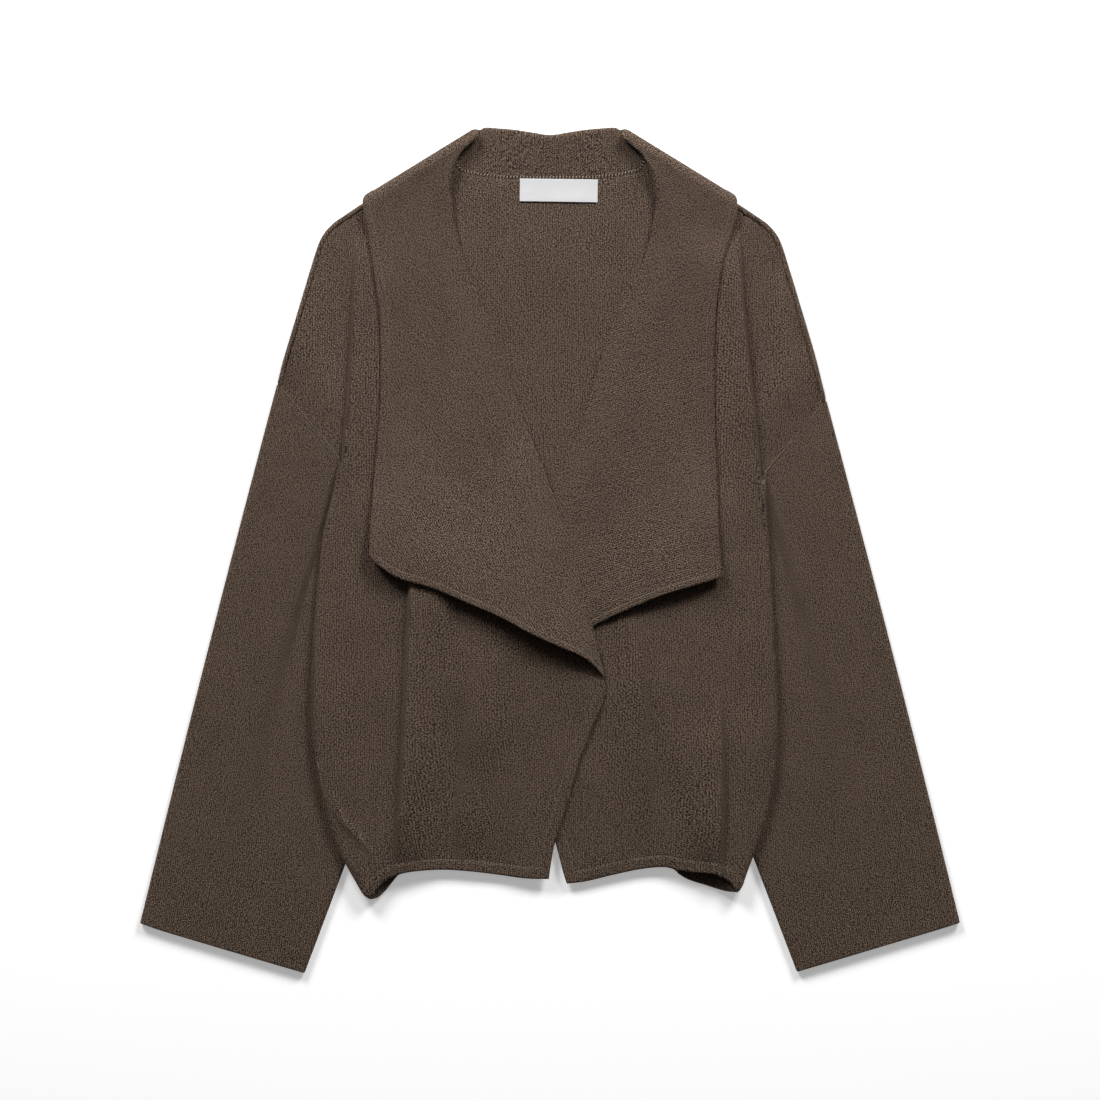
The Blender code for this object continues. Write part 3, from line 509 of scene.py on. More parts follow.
@dataclass(frozen=True)
class Lay:
    """The heights at which the layers of cloth lie on each other.

    A cover is how far from the hidden part of a sleeve the cloth starts to rise and over what length it
    does. Other pairs are a start or an end and the length of the rise or fall there.

    Attributes:
        ripples: the slow waves of the cloth.
        back_cover: the back's cover of the sleeves.
        wide_cover: the same lower down, where the back is raised more widely.
        wide_below: up to where that wider cover reaches.
        front_cover: the fronts' cover of the sleeves.
        from_armhole: over what distance from the armhole seam that cover rises.
        fall_above: from where the back lies over the collar's fall.
        fall_within: how far out it does.
        neck_point_reach: how far the rise round the neck's corner reaches.
        left_within: from where, inside the left front's and lapel's edges, the right front is raised.
        left_front_below: up to where the left front raises it.
        left_lapel_end: two points of the left lapel's hidden lower edge.
        left_lapel_above: from where the left lapel raises it.
        left_lapel_below: up to where the left lapel raises it.
        lowest_roll: where the left lapel's roll ends.
    """

    ripples: Sequence[Ripple] = (
        Ripple(0.20, 83.0, 0.25, 0.4), Ripple(0.14, 61.0, 1.90, 2.1), Ripple(0.12, 47.0, 0.45, 4.4),
        Ripple(0.06, 34.0, 2.85, 1.2), Ripple(0.03, 23.0, 0.60, 3.3))
    back_cover: Sequence[float] = (22.0, 12.0)
    wide_cover: Sequence[float] = (42.0, 24.0)
    wide_below: Sequence[float] = (52.0, 24.0)
    front_cover: Sequence[float] = (90.0, 88.0)
    from_armhole: float = 46.0
    fall_above: Sequence[float] = (150.0, 92.0)
    fall_within: Sequence[float] = (176.0, 20.0)
    neck_point_reach: float = 34.0
    left_within: Sequence[float] = (-62.0, 50.0)
    left_front_below: Sequence[float] = (124.0, 34.0)
    left_lapel_end: Table = ((-34.0, -98.6), (53.6, -52.0))
    left_lapel_above: Sequence[float] = (-70.0, 60.0)
    left_lapel_below: Sequence[float] = (100.0, 24.0)
    lowest_roll: float = -102.0

    def unevenness(self, side: Side, out: Array, up: Array) -> Array:
        """The slow waves of cloth that nobody has pressed."""
        return sum(ripple.at(out * side.value, up) for ripple in self.ripples)

    def over_sleeve(self, side: Side, out: Array, up: Array, reach: float, ramp: float) -> Array:
        """1 where the body lies over the hidden part of a sleeve, with a soft rise before it.

        Args:
            side: which sleeve.
            out: distances from the centre line.
            up: distances from the middle of the outline.
            reach: how far from that part the rise starts.
            ramp: how long the rise is.

        Returns:
            Shares from 0 to 1.
        """
        cut = CUTS[side]
        end = left_of(cut.turn_under, cut.underarm, out, up)
        inner = left_of(cut.underarm, cut.cuff[-1], out, up)
        return rising(np.minimum(end, inner), -reach, ramp)

    def raised(self, side: Side, out: Array, up: Array) -> Array:
        """1 where the back lies over a sleeve, and 0 where it lies on the floor."""
        narrow = self.over_sleeve(side, out, up, *self.back_cover)
        wide = self.over_sleeve(side, out, up, *self.wide_cover) * fading(up, *self.wide_below)
        return np.maximum(narrow, wide)

    def back(self, side: Side, out: Array, up: Array) -> Array:
        """The back lies on the floor, and over the sleeves and the collar's fall."""
        over_fall = rising(up, *self.fall_above) * fading(out, *self.fall_within)
        far = np.hypot(out - BACK_CORNER[0], up - BACK_CORNER[1])
        return (
            ON_FLOOR
            + OVER_SLEEVE * self.raised(side, out, up)
            + OVER_COLLAR * over_fall
            + NECK_POINT_RISE * (1.0 - smooth(far / self.neck_point_reach))
        )

    def over_left_side(self, out: Array, up: Array) -> Array:
        """How far the right front is raised by the left front and the left lapel below it."""
        x, cut = -out, LEFT_CUT
        edge = rail((*cut.neck_seam, *cut.front_edge), up)
        roll = rail([row[0] for row in cut.lapel_sections][::-1], np.maximum(up, self.lowest_roll))
        lower = left_of(*self.left_lapel_end, x, up)
        on_front = rising(x - edge, *self.left_within) * fading(up, *self.left_front_below)
        on_lapel = rising(x - roll, *self.left_within) * rising(lower, *self.left_lapel_above)
        return OVER_LEFT_FRONT * on_front + OVER_LEFT_LAPEL * on_lapel * fading(up, *self.left_lapel_below)

    def front(self, side: Side, out: Array, up: Array) -> Array:
        """A front lies over the back with its own folds, and the right front over the left."""
        top, fold = np.array(CUTS[side].shoulder[0][1]), np.array(CUTS[side].underarm_fold)
        seam = fold - top
        place = np.clip(((out - top[0]) * seam[0] + (up - top[1]) * seam[1]) / (seam @ seam), 0.0, 1.0)
        away = np.hypot(out - top[0] - place * seam[0], up - top[1] - place * seam[1])
        bridge = self.over_sleeve(side, out, up, *self.front_cover) * smooth(away / self.from_armhole)
        missing = 1.0 - self.raised(side, out, up)
        height = self.back(side, out, up) + OVER_SLEEVE * bridge * missing + TUBE_RISE
        for crease in CUTS[side].folds:
            height = height + crease.at(out, up) * (missing * (1.0 - bridge) if crease.joins_side else 1.0)
        if side is Side.RIGHT:
            height = height + self.over_left_side(out, up)
        return height + self.unevenness(side, out, up)


LAY = Lay()


# ---------------------------------------------------------------- meshes
@dataclass
class Patch:
    """A grid of cloth: its points, the way its stitches run and half its thickness.

    Attributes:
        points: rows of points, in millimetres in the frame.
        grain: for each point its place across and along the columns of stitches.
        half: half the thickness of the wall at each point.
    """

    points: Array
    grain: Array
    half: Array

    def normals(self) -> Array:
        """The upward unit normals of the grid."""
        down = np.gradient(self.points, axis=0)
        across = np.gradient(self.points, axis=1)
        normal = np.cross(across, down)
        normal /= np.linalg.norm(normal, axis=-1, keepdims=True) + 1e-12
        return normal * np.where(normal[..., 2:] < 0, -1.0, 1.0)

    def on_top(self, rows: Any, columns: Any, lift: float) -> Array:
        """Points on the upper face of some rows and columns, lifted off it."""
        raised = self.points + self.normals() * (self.half + lift)[..., None]
        return raised[rows, columns]


def on_side(side: Side, grid: Array) -> Array:
    """Turns (out, up, height) into X, Y and Z on a side of the garment."""
    return grid * (side.value, 1.0, 1.0) + (0.0, UP_SHIFT, 0.0)


def shell(name: str, patches: Sequence[Patch], material: bpy.types.Material) -> bpy.types.Object:
    """A closed wall of cloth round joined patches.

    Args:
        name: the piece's name.
        patches: the grids of its middle surface, which share their edges' points.
        material: its finish.

    Returns:
        The new object, with its wall as a modifier.
    """
    points, grain, weights, faces, start = [], [], [], [], 0
    for patch in patches:
        rows, columns = patch.points.shape[:2]
        points.append(patch.points.reshape(-1, 3) * MM)
        grain.append(patch.grain.reshape(-1, 2) * MM)
        weights.append(2.0 * patch.half.reshape(-1) / WALL_MOST)
        index = start + np.arange(rows * columns).reshape(rows, columns)
        quads = np.stack([index[:-1, :-1], index[:-1, 1:], index[1:, 1:], index[1:, :-1]], axis=-1)
        faces.append(quads.reshape(-1, 4))
        start += rows * columns
    points, grain, weights = np.concatenate(points), np.concatenate(grain), np.concatenate(weights)
    faces = np.concatenate(faces)

    data = bpy.data.meshes.new(name)
    data.from_pydata(points.tolist(), [], faces.tolist())
    layer = data.uv_layers.new(name=GRAIN)
    layer.uv.foreach_set("vector", grain[faces.reshape(-1)].astype(np.float32).ravel())
    mesh = bmesh.new()
    mesh.from_mesh(data)
    deform = mesh.verts.layers.deform.verify()
    mesh.verts.ensure_lookup_table()
    for vertex, weight in zip(mesh.verts, weights):
        vertex[deform][0] = float(weight)
    bmesh.ops.remove_doubles(mesh, verts=mesh.verts[:], dist=MERGE_M)
    bmesh.ops.recalc_face_normals(mesh, faces=mesh.faces[:])
    mesh.to_mesh(data)
    mesh.free()
    data.shade_smooth()
    data.materials.append(material)

    made = bpy.data.objects.new(name, data)
    bpy.context.scene.collection.objects.link(made)
    made.vertex_groups.new(name="Wall")
    wall = made.modifiers.new("Wall", "SOLIDIFY")
    wall.thickness = WALL_MOST * MM
    wall.offset = 0.0
    wall.use_even_offset = False
    wall.use_quality_normals = True
    wall.vertex_group = "Wall"
    wall.thickness_vertex_group = 0.0
    return made


# ---------------------------------------------------------------- nodes
def feed(tree: bpy.types.NodeTree, socket: bpy.types.NodeSocket, value: Any) -> None:
    """Links a value to a socket, or sets it there."""
    value = value.socket if isinstance(value, Value) else value
    if isinstance(value, bpy.types.NodeSocket):
        tree.links.new(value, socket)
    else:
        socket.default_value = value


def add_node(tree: bpy.types.NodeTree, kind: str, settings: Optional[dict] = None,
             inputs: Optional[dict] = None) -> bpy.types.Node:
    """Adds a node.

    Args:
        tree: the tree that gets it.
        kind: the node's type.
        settings: its own settings, which are set first.
        inputs: values or links, by the name or number of the socket.

    Returns:
        The node.
    """
    made = tree.nodes.new(kind)
    for name, value in (settings or {}).items():
        setattr(made, name, value)
    for name, value in (inputs or {}).items():
        feed(tree, made.inputs[name], value)
    return made


class Value:
    """A number in a material that varies over the surface."""

    def __init__(self, graph: "Graph", socket: bpy.types.NodeSocket) -> None:
        """Wraps the socket that the number comes from."""
        self.graph = graph
        self.socket = socket

    def _with(self, operation: str, *others: Number) -> "Value":
        """Adds one Math node."""
        return self.graph.maths(operation, self, *others)

    def __add__(self, other: Number) -> "Value":
        """self + other."""
        return self._with("ADD", other)

    __radd__ = __add__

    def __sub__(self, other: Number) -> "Value":
        """self - other."""
        return self._with("SUBTRACT", other)

    def __rsub__(self, other: Number) -> "Value":
        """other - self."""
        return self.graph.maths("SUBTRACT", other, self)

    def __mul__(self, other: Number) -> "Value":
        """self * other."""
        return self._with("MULTIPLY", other)

    __rmul__ = __mul__

    def __pow__(self, other: Number) -> "Value":
        """self ** other."""
        return self._with("POWER", other)

    def __abs__(self) -> "Value":
        """abs(self)."""
        return self._with("ABSOLUTE")

    def fraction(self) -> "Value":
        """The part after the decimal point."""
        return self._with("FRACT")

    def cosine(self) -> "Value":
        """The cosine, of radians."""
        return self._with("COSINE")

    def ramp(self, low: float, high: float) -> "Value":
        """0 at low and 1 at high, held beyond them."""
        node = self.graph.node(
            "ShaderNodeMapRange", {"clamp": True},
            {"Value": self, "From Min": low, "From Max": high, "To Min": 0.0, "To Max": 1.0})
        return Value(self.graph, node.outputs["Result"])


class Graph:
    """Builds the nodes of one material."""

    def __init__(self, name: str) -> None:
        """Makes the material, with its Principled shader."""
        self.material = bpy.data.materials.new(name)
        self.material.use_nodes = True
        self.tree = self.material.node_tree
        self.shader = self.tree.nodes["Principled BSDF"]

    def node(self, kind: str, settings: Optional[dict] = None, inputs: Optional[dict] = None) -> bpy.types.Node:
        """Adds a node to this material."""
        return add_node(self.tree, kind, settings, inputs)

    def maths(self, operation: str, *terms: Number) -> Value:
        """One Math node as a value."""
        node = self.node("ShaderNodeMath", {"operation": operation}, dict(enumerate(terms)))
        return Value(self, node.outputs[0])

    def turned(self, vector: bpy.types.NodeSocket, degrees: float, stretch: float) -> bpy.types.NodeSocket:
        """A vector turned about Z, then squeezed along its new X so that patterns there get longer."""
        node = self.node("ShaderNodeMapping", {"vector_type": "POINT"}, {
            "Vector": vector, "Rotation": (0.0, 0.0, math.radians(degrees)), "Scale": (1.0 / stretch, 1.0, 1.0)})
        return node.outputs["Vector"]

    def noise(self, vector: bpy.types.NodeSocket, mottle: "Mottle") -> Value:
        """A noise texture over a vector."""
        node = self.node("ShaderNodeTexNoise", {"noise_dimensions": "3D"}, {
            "Vector": vector, "Scale": mottle.fineness, "Detail": mottle.detail, "Roughness": mottle.rough})
        return Value(self, node.outputs["Fac"])

    def blend(self, factor: Any, first: Any, second: Any) -> bpy.types.NodeSocket:
        """Mixes two colours."""
        node = self.node("ShaderNodeMix", {"data_type": "RGBA", "blend_type": "MIX", "clamp_factor": True},
                         {0: factor, 6: first, 7: second})
        return node.outputs[2]

    def finish(self, **sockets: Any) -> bpy.types.Material:
        """Sets or links the shader's sockets, named with _ for each space."""
        for name, value in sockets.items():
            feed(self.tree, self.shader.inputs[name.replace("_", " ")], value)
        return self.material


def shaded(colour: Sequence[float], share: float) -> tuple[float, ...]:
    """A colour made darker, still opaque."""
    return tuple(share * part for part in colour[:3]) + (1.0,)


@dataclass(frozen=True)
class Mottle:
    """One layer of unevenness in a yarn.

    Attributes:
        fineness: how fine its noise is.
        strength: how strongly it shows.
        detail: how many finer layers it has.
        rough: how strong those are.
    """

    fineness: float
    strength: float
    detail: float = 1.0
    rough: float = 0.5


@dataclass(frozen=True)
class KnitFinish:
    """A fine plain knit of a mixed taupe yarn.

    Attributes:
        name: the material's name.
        dark: the colour of the darkest fibres, and the painted shade between stitches.
        light: the colour of the palest fibres, and the painted light on the tops of stitches.
        balance: how much more pale than dark fibre there is.
        wale: the width of a column of stitches.
        course: the height of a row of stitches.
        relief: how far the stitches stand out.
        fibres: the smallest specks.
        tufts: specks the size of a stitch.
        streaks: short fibres that lie aslant.
        streak_lean: how far those lean, in degrees.
        streak_length: how much longer than wide they are.
        clouds: slow changes of tone.
        flecks: single pale fibres.
        fleck_colour: their colour.
        wander: how the columns wander.
    """

    name: str
    dark: Sequence[float] = (0.005, 0.0032, 0.002, 1.0)
    light: Sequence[float] = (0.205, 0.141, 0.1035, 1.0)
    balance: float = -0.33
    wale: float = 1.75
    course: float = 1.5
    relief: float = 0.42
    fibres: Mottle = Mottle(1420.0, 5.4)
    tufts: Mottle = Mottle(820.0, 1.6)
    streaks: Mottle = Mottle(1480.0, 6.0)
    streak_lean: float = 52.0
    streak_length: float = 1.8
    clouds: Mottle = Mottle(26.0, 0.3, 3.0)
    flecks: Mottle = Mottle(1200.0, 0.6, 1.0, 0.4)
    fleck_colour: Sequence[float] = (0.31, 0.23, 0.172, 1.0)
    wander: Mottle = Mottle(190.0, 1.0, 2.0)

    def stitches(self, across: Value, along: Value) -> Value:
        """The relief of the stitches, from 0 between them to 1 on top."""
        turn = 2.0 * math.pi
        off = abs(across.fraction() - 0.5) * 2.0
        leg = ((along - off * 0.85) * turn).cosine() * 0.5 + 0.5
        column = 1.0 - off**3.0
        return column * (leg * 0.5 + 0.5)

    def material(self) -> bpy.types.Material:
        """Builds the finish.

        Returns:
            The material, which reads the piece's own grain map.
        """
        graph = Graph(self.name)
        grain = graph.node("ShaderNodeUVMap", {"uv_map": GRAIN}).outputs["UV"]
        place = graph.node("ShaderNodeSeparateXYZ", inputs={"Vector": grain})
        wander = graph.noise(grain, self.wander) - 0.5
        across = Value(graph, place.outputs["X"]) * (1.0 / (self.wale * MM)) + wander * 0.55
        along = Value(graph, place.outputs["Y"]) * (1.0 / (self.course * MM)) + wander * 0.7
        relief = self.stitches(across, along)

        aslant = graph.turned(grain, self.streak_lean, self.streak_length)
        # The relief of the stitches feeds the colour: painted shade between them and painted light on their tops, with
        # the yarn's random tones added.
        tone_and_gap_shade = relief * 1.1 + self.balance
        specks = []
        for mottle, place in ((self.fibres, grain), (self.tufts, grain), (self.streaks, aslant), (self.clouds, grain)):
            specks.append(graph.noise(place, mottle))
            tone_and_gap_shade = tone_and_gap_shade + (specks[-1] - 0.5) * mottle.strength
        colour = graph.blend(tone_and_gap_shade.ramp(0.0, 1.0), self.dark, self.light)
        flecks = graph.noise(grain, self.flecks).ramp(0.6, 0.68)
        colour = graph.blend(flecks * self.flecks.strength, colour, self.fleck_colour)

        fuzz = relief * 0.8 + specks[0] * 0.3 + specks[1] * 0.2
        bump = graph.node("ShaderNodeBump", inputs={
            "Strength": 1.0, "Distance": self.relief * MM, "Height": fuzz})
        return graph.finish(
            Base_Color=colour, Roughness=0.95, Specular_IOR_Level=0.12, Sheen_Weight=0.08,
            Sheen_Roughness=0.55, Sheen_Tint=(0.62, 0.52, 0.44, 1.0), Normal=bump.outputs["Normal"])


@dataclass(frozen=True)
class RibbonFinish:
    """A bare white label of woven satin ribbon.

    Attributes:
        name: the material's name.
        colour: the colour of the ribbon.
        pick: the distance between its crosswise threads.
        clouds: slow changes of tone.
    """

    name: str
    colour: Sequence[float] = (0.68, 0.68, 0.69, 1.0)
    pick: float = 0.32
    clouds: Mottle = Mottle(90.0, 0.4, 2.0)

    def material(self) -> bpy.types.Material:
        """Builds the finish."""
        graph = Graph(self.name)
        grain = graph.node("ShaderNodeUVMap", {"uv_map": GRAIN}).outputs["UV"]
        place = graph.node("ShaderNodeSeparateXYZ", inputs={"Vector": grain})
        turn = 2.0 * math.pi / (self.pick * MM)
        picks = (Value(graph, place.outputs["Y"]) * turn).cosine() * 0.5 + 0.5
        ends = (Value(graph, place.outputs["X"]) * (turn * 1.6)).cosine() * 0.5 + 0.5
        cloudy = graph.noise(grain, self.clouds)
        weave = picks * 0.7 + ends * 0.3
        # The weave's relief feeds the colour: painted shade between the threads, with a random cloudy tone.
        tone_and_gap_shade = weave * 0.35 + cloudy * self.clouds.strength + 0.2
        colour = graph.blend(tone_and_gap_shade.ramp(0.1, 1.0), shaded(self.colour, 0.82), self.colour)
        bump = graph.node("ShaderNodeBump", inputs={"Strength": 0.5, "Distance": 0.05 * MM, "Height": weave})
        return graph.finish(Base_Color=colour, Roughness=0.6, Specular_IOR_Level=0.4,
                            Sheen_Weight=0.1, Normal=bump.outputs["Normal"])


@dataclass(frozen=True)
class ThreadFinish:
    """Sewing thread.

    Attributes:
        name: the material's name.
        colour: the colour of the thread.
        uneven: how the thread varies.
    """

    name: str
    colour: Sequence[float]
    uneven: Mottle = Mottle(900.0, 1.0, 2.0, 0.6)

    def material(self) -> bpy.types.Material:
        """Builds the finish."""
        graph = Graph(self.name)
        place = graph.node("ShaderNodeTexCoord").outputs["Object"]
        uneven = graph.noise(place, self.uneven)
        colour = graph.blend(uneven.ramp(0.3, 0.7), shaded(self.colour, 0.62), self.colour)
        return graph.finish(Base_Color=colour, Roughness=0.75, Specular_IOR_Level=0.3)


# ---------------------------------------------------------------- stitches
@dataclass(frozen=True)
class Stitching:
    """A row of equal stitches along lines of points, made by one node tree.

    Attributes:
        pitch: the distance between stitches.
        length: how long a stitch is.
        thick: how thick its thread looks.
        lean: how far each stitch is turned from the line, in degrees.
    """

    pitch: float
    length: float
    thick: float
    lean: float = 0.0

    @staticmethod
    def tree() -> bpy.types.NodeTree:
        """The node tree, with its sizes as named inputs."""
        found = bpy.data.node_groups.get("row_of_stitches")
        if found:
            return found
        tree = bpy.data.node_groups.new("row_of_stitches", "GeometryNodeTree")
        tree.interface.new_socket("Line", in_out="INPUT", socket_type="NodeSocketGeometry")
        for name in ("Pitch", "Length", "Thickness", "Lean"):
            tree.interface.new_socket(name, in_out="INPUT", socket_type="NodeSocketFloat")
        tree.interface.new_socket("Thread", in_out="INPUT", socket_type="NodeSocketMaterial")
        tree.interface.new_socket("Stitches", in_out="OUTPUT", socket_type="NodeSocketGeometry")
        given = tree.nodes.new("NodeGroupInput").outputs
        line = add_node(tree, "GeometryNodeMeshToCurve", None, {"Mesh": given["Line"]})
        spaced = add_node(tree, "GeometryNodeResampleCurve", {"mode": "LENGTH"}, {
            "Curve": line.outputs["Curve"], "Length": given["Pitch"]})
        bead = add_node(tree, "GeometryNodeMeshUVSphere", None, {"Segments": 8, "Rings": 5, "Radius": 0.5})
        size = add_node(tree, "ShaderNodeCombineXYZ", None, {
            "X": given["Length"], "Y": given["Thickness"], "Z": given["Thickness"]})
        shaped = add_node(tree, "GeometryNodeTransform", None, {
            "Geometry": bead.outputs["Mesh"], "Scale": size.outputs["Vector"]})
        tangent = add_node(tree, "GeometryNodeInputTangent")
        along = add_node(tree, "FunctionNodeAlignRotationToVector", {"axis": "X"}, {
            "Vector": tangent.outputs["Tangent"]})
        lean = add_node(tree, "ShaderNodeCombineXYZ", None, {"Z": given["Lean"]})
        turned = add_node(tree, "FunctionNodeRotateRotation", {"rotation_space": "GLOBAL"}, {
            "Rotation": along.outputs["Rotation"], "Rotate By": lean.outputs["Vector"]})
        placed = add_node(tree, "GeometryNodeInstanceOnPoints", None, {
            "Points": spaced.outputs["Curve"], "Instance": shaped.outputs["Geometry"],
            "Rotation": turned.outputs["Rotation"]})
        real = add_node(tree, "GeometryNodeRealizeInstances", None, {"Geometry": placed.outputs["Instances"]})
        soft = add_node(tree, "GeometryNodeSetShadeSmooth", None, {"Geometry": real.outputs["Geometry"]})
        dressed = add_node(tree, "GeometryNodeSetMaterial", None, {
            "Geometry": soft.outputs["Geometry"], "Material": given["Thread"]})
        add_node(tree, "NodeGroupOutput", None, {"Stitches": dressed.outputs["Geometry"]})
        return tree

    def sew(self, name: str, lines: Iterable[Array], thread: bpy.types.Material) -> bpy.types.Object:
        """Sews rows of stitches.

        Args:
            name: the piece's name.
            lines: rows of points, in millimetres.
            thread: the thread's material.

        Returns:
            One mesh of all the stitches.
        """
        data = bpy.data.meshes.new(name + "_lines")
        points, edges = [], []
        for line in lines:
            edges += [(len(points) + i, len(points) + i + 1) for i in range(len(line) - 1)]
            points += (np.asarray(line) * MM).tolist()
        data.from_pydata(points, edges, [])
        guide = bpy.data.objects.new(name + "_lines", data)
        bpy.context.scene.collection.objects.link(guide)
        rows = guide.modifiers.new("Stitches", "NODES")
        rows.node_group = self.tree()
        given = {"Pitch": self.pitch * MM, "Length": self.length * MM, "Thickness": self.thick * MM,
                 "Lean": math.radians(self.lean), "Thread": thread}
        for socket in rows.node_group.interface.items_tree:
            if socket.in_out == "INPUT" and socket.name in given:
                rows[socket.identifier] = given[socket.name]
        graph = bpy.context.evaluated_depsgraph_get()
        mesh = bpy.data.meshes.new_from_object(guide.evaluated_get(graph))
        mesh.name = name
        bpy.data.objects.remove(guide)
        made = bpy.data.objects.new(name, mesh)
        bpy.context.scene.collection.objects.link(made)
        return made


BAND_STITCHES = Stitching(2.4, 1.5, 0.7)
ARMHOLE_LINKS = Stitching(1.8, 1.5, 0.8, 24.0)
NECK_LINKS = Stitching(2.6, 2.3, 1.05, 58.0)
LABEL_STITCHES = Stitching(1.9, 1.5, 0.3)


# ---------------------------------------------------------------- finishes
BODY_KNIT = KnitFinish("body_knit", balance=-0.37)
INSIDE_KNIT = KnitFinish("inside_knit", balance=-0.37, relief=0.34)
COLLAR_KNIT = KnitFinish("collar_knit")
SLEEVE_KNIT = KnitFinish("sleeve_knit")
RIBBON = RibbonFinish("label_weave")
EDGE_THREAD = ThreadFinish("edge_thread", (0.215, 0.164, 0.126, 1.0))
SEAM_THREAD = ThreadFinish("seam_thread", (0.40, 0.325, 0.26, 1.0))
ARMHOLE_THREAD = ThreadFinish("armhole_thread", (0.29, 0.225, 0.175, 1.0))
LABEL_THREAD = ThreadFinish("label_thread", (0.78, 0.78, 0.77, 1.0))


@dataclass
class Piece:
    """A finished object, the parts of model.glb that it replaces, and a slot and sheet that are kept with it but not
    passed on.
    """

    obj: bpy.types.Object
    slot: str
    replaces: Sequence[str] = ()
    sheet: dict = field(default_factory=dict)

    def declare(self) -> None:
        """Rides the piece on the garment and hides the parts that it replaces."""
        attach(self.obj, BODY)
        if self.replaces:
            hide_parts(*self.replaces)


# ---------------------------------------------------------------- body
def front_rails(side: Side, neck_rows: int, edge_rows: int) -> tuple[Array, Array, Array]:
    """Row by row: the outer edge, the crest and the inner edge of a front.

    Args:
        side: which front.
        neck_rows: how many rows start on the neck seam.
        edge_rows: how many rows start on the free edge.

    Returns:
        Three arrays of points in plan.
    """
    cut = CUTS[side]
    seam = through(cut.neck_seam, np.linspace(0, len(cut.neck_seam) - 1, neck_rows))
    edge = through(cut.front_edge, np.linspace(0, len(cut.front_edge) - 1, edge_rows))
    inner = np.concatenate([seam, edge])
    table = np.array(cut.stations)[::-1]
    crest_up = np.interp(inner[:, 1], table[:, 0], table[:, 1])
    outer_up = np.interp(inner[:, 1], table[:, 0], table[:, 2])
    top, fold = cut.shoulder[0][1], cut.underarm_fold
    armhole = np.interp(outer_up, [fold[1], top[1]], [fold[0], top[0]])
    outer = np.where(outer_up > fold[1], armhole, rail(cut.side_edge, outer_up))
    crest = rail(cut.side_crest, crest_up)
    return np.stack([outer, outer_up], axis=-1), np.stack([crest, crest_up], axis=-1), inner


def split(line: Any, point: Any) -> tuple[Array, Array]:
    """The two parts of a curve, either side of the place nearest a point."""
    line = fine(line)
    cut = int(np.argmin(np.linalg.norm(line - np.asarray(point, float), axis=1)))
    return line[: cut + 1], line[cut:]


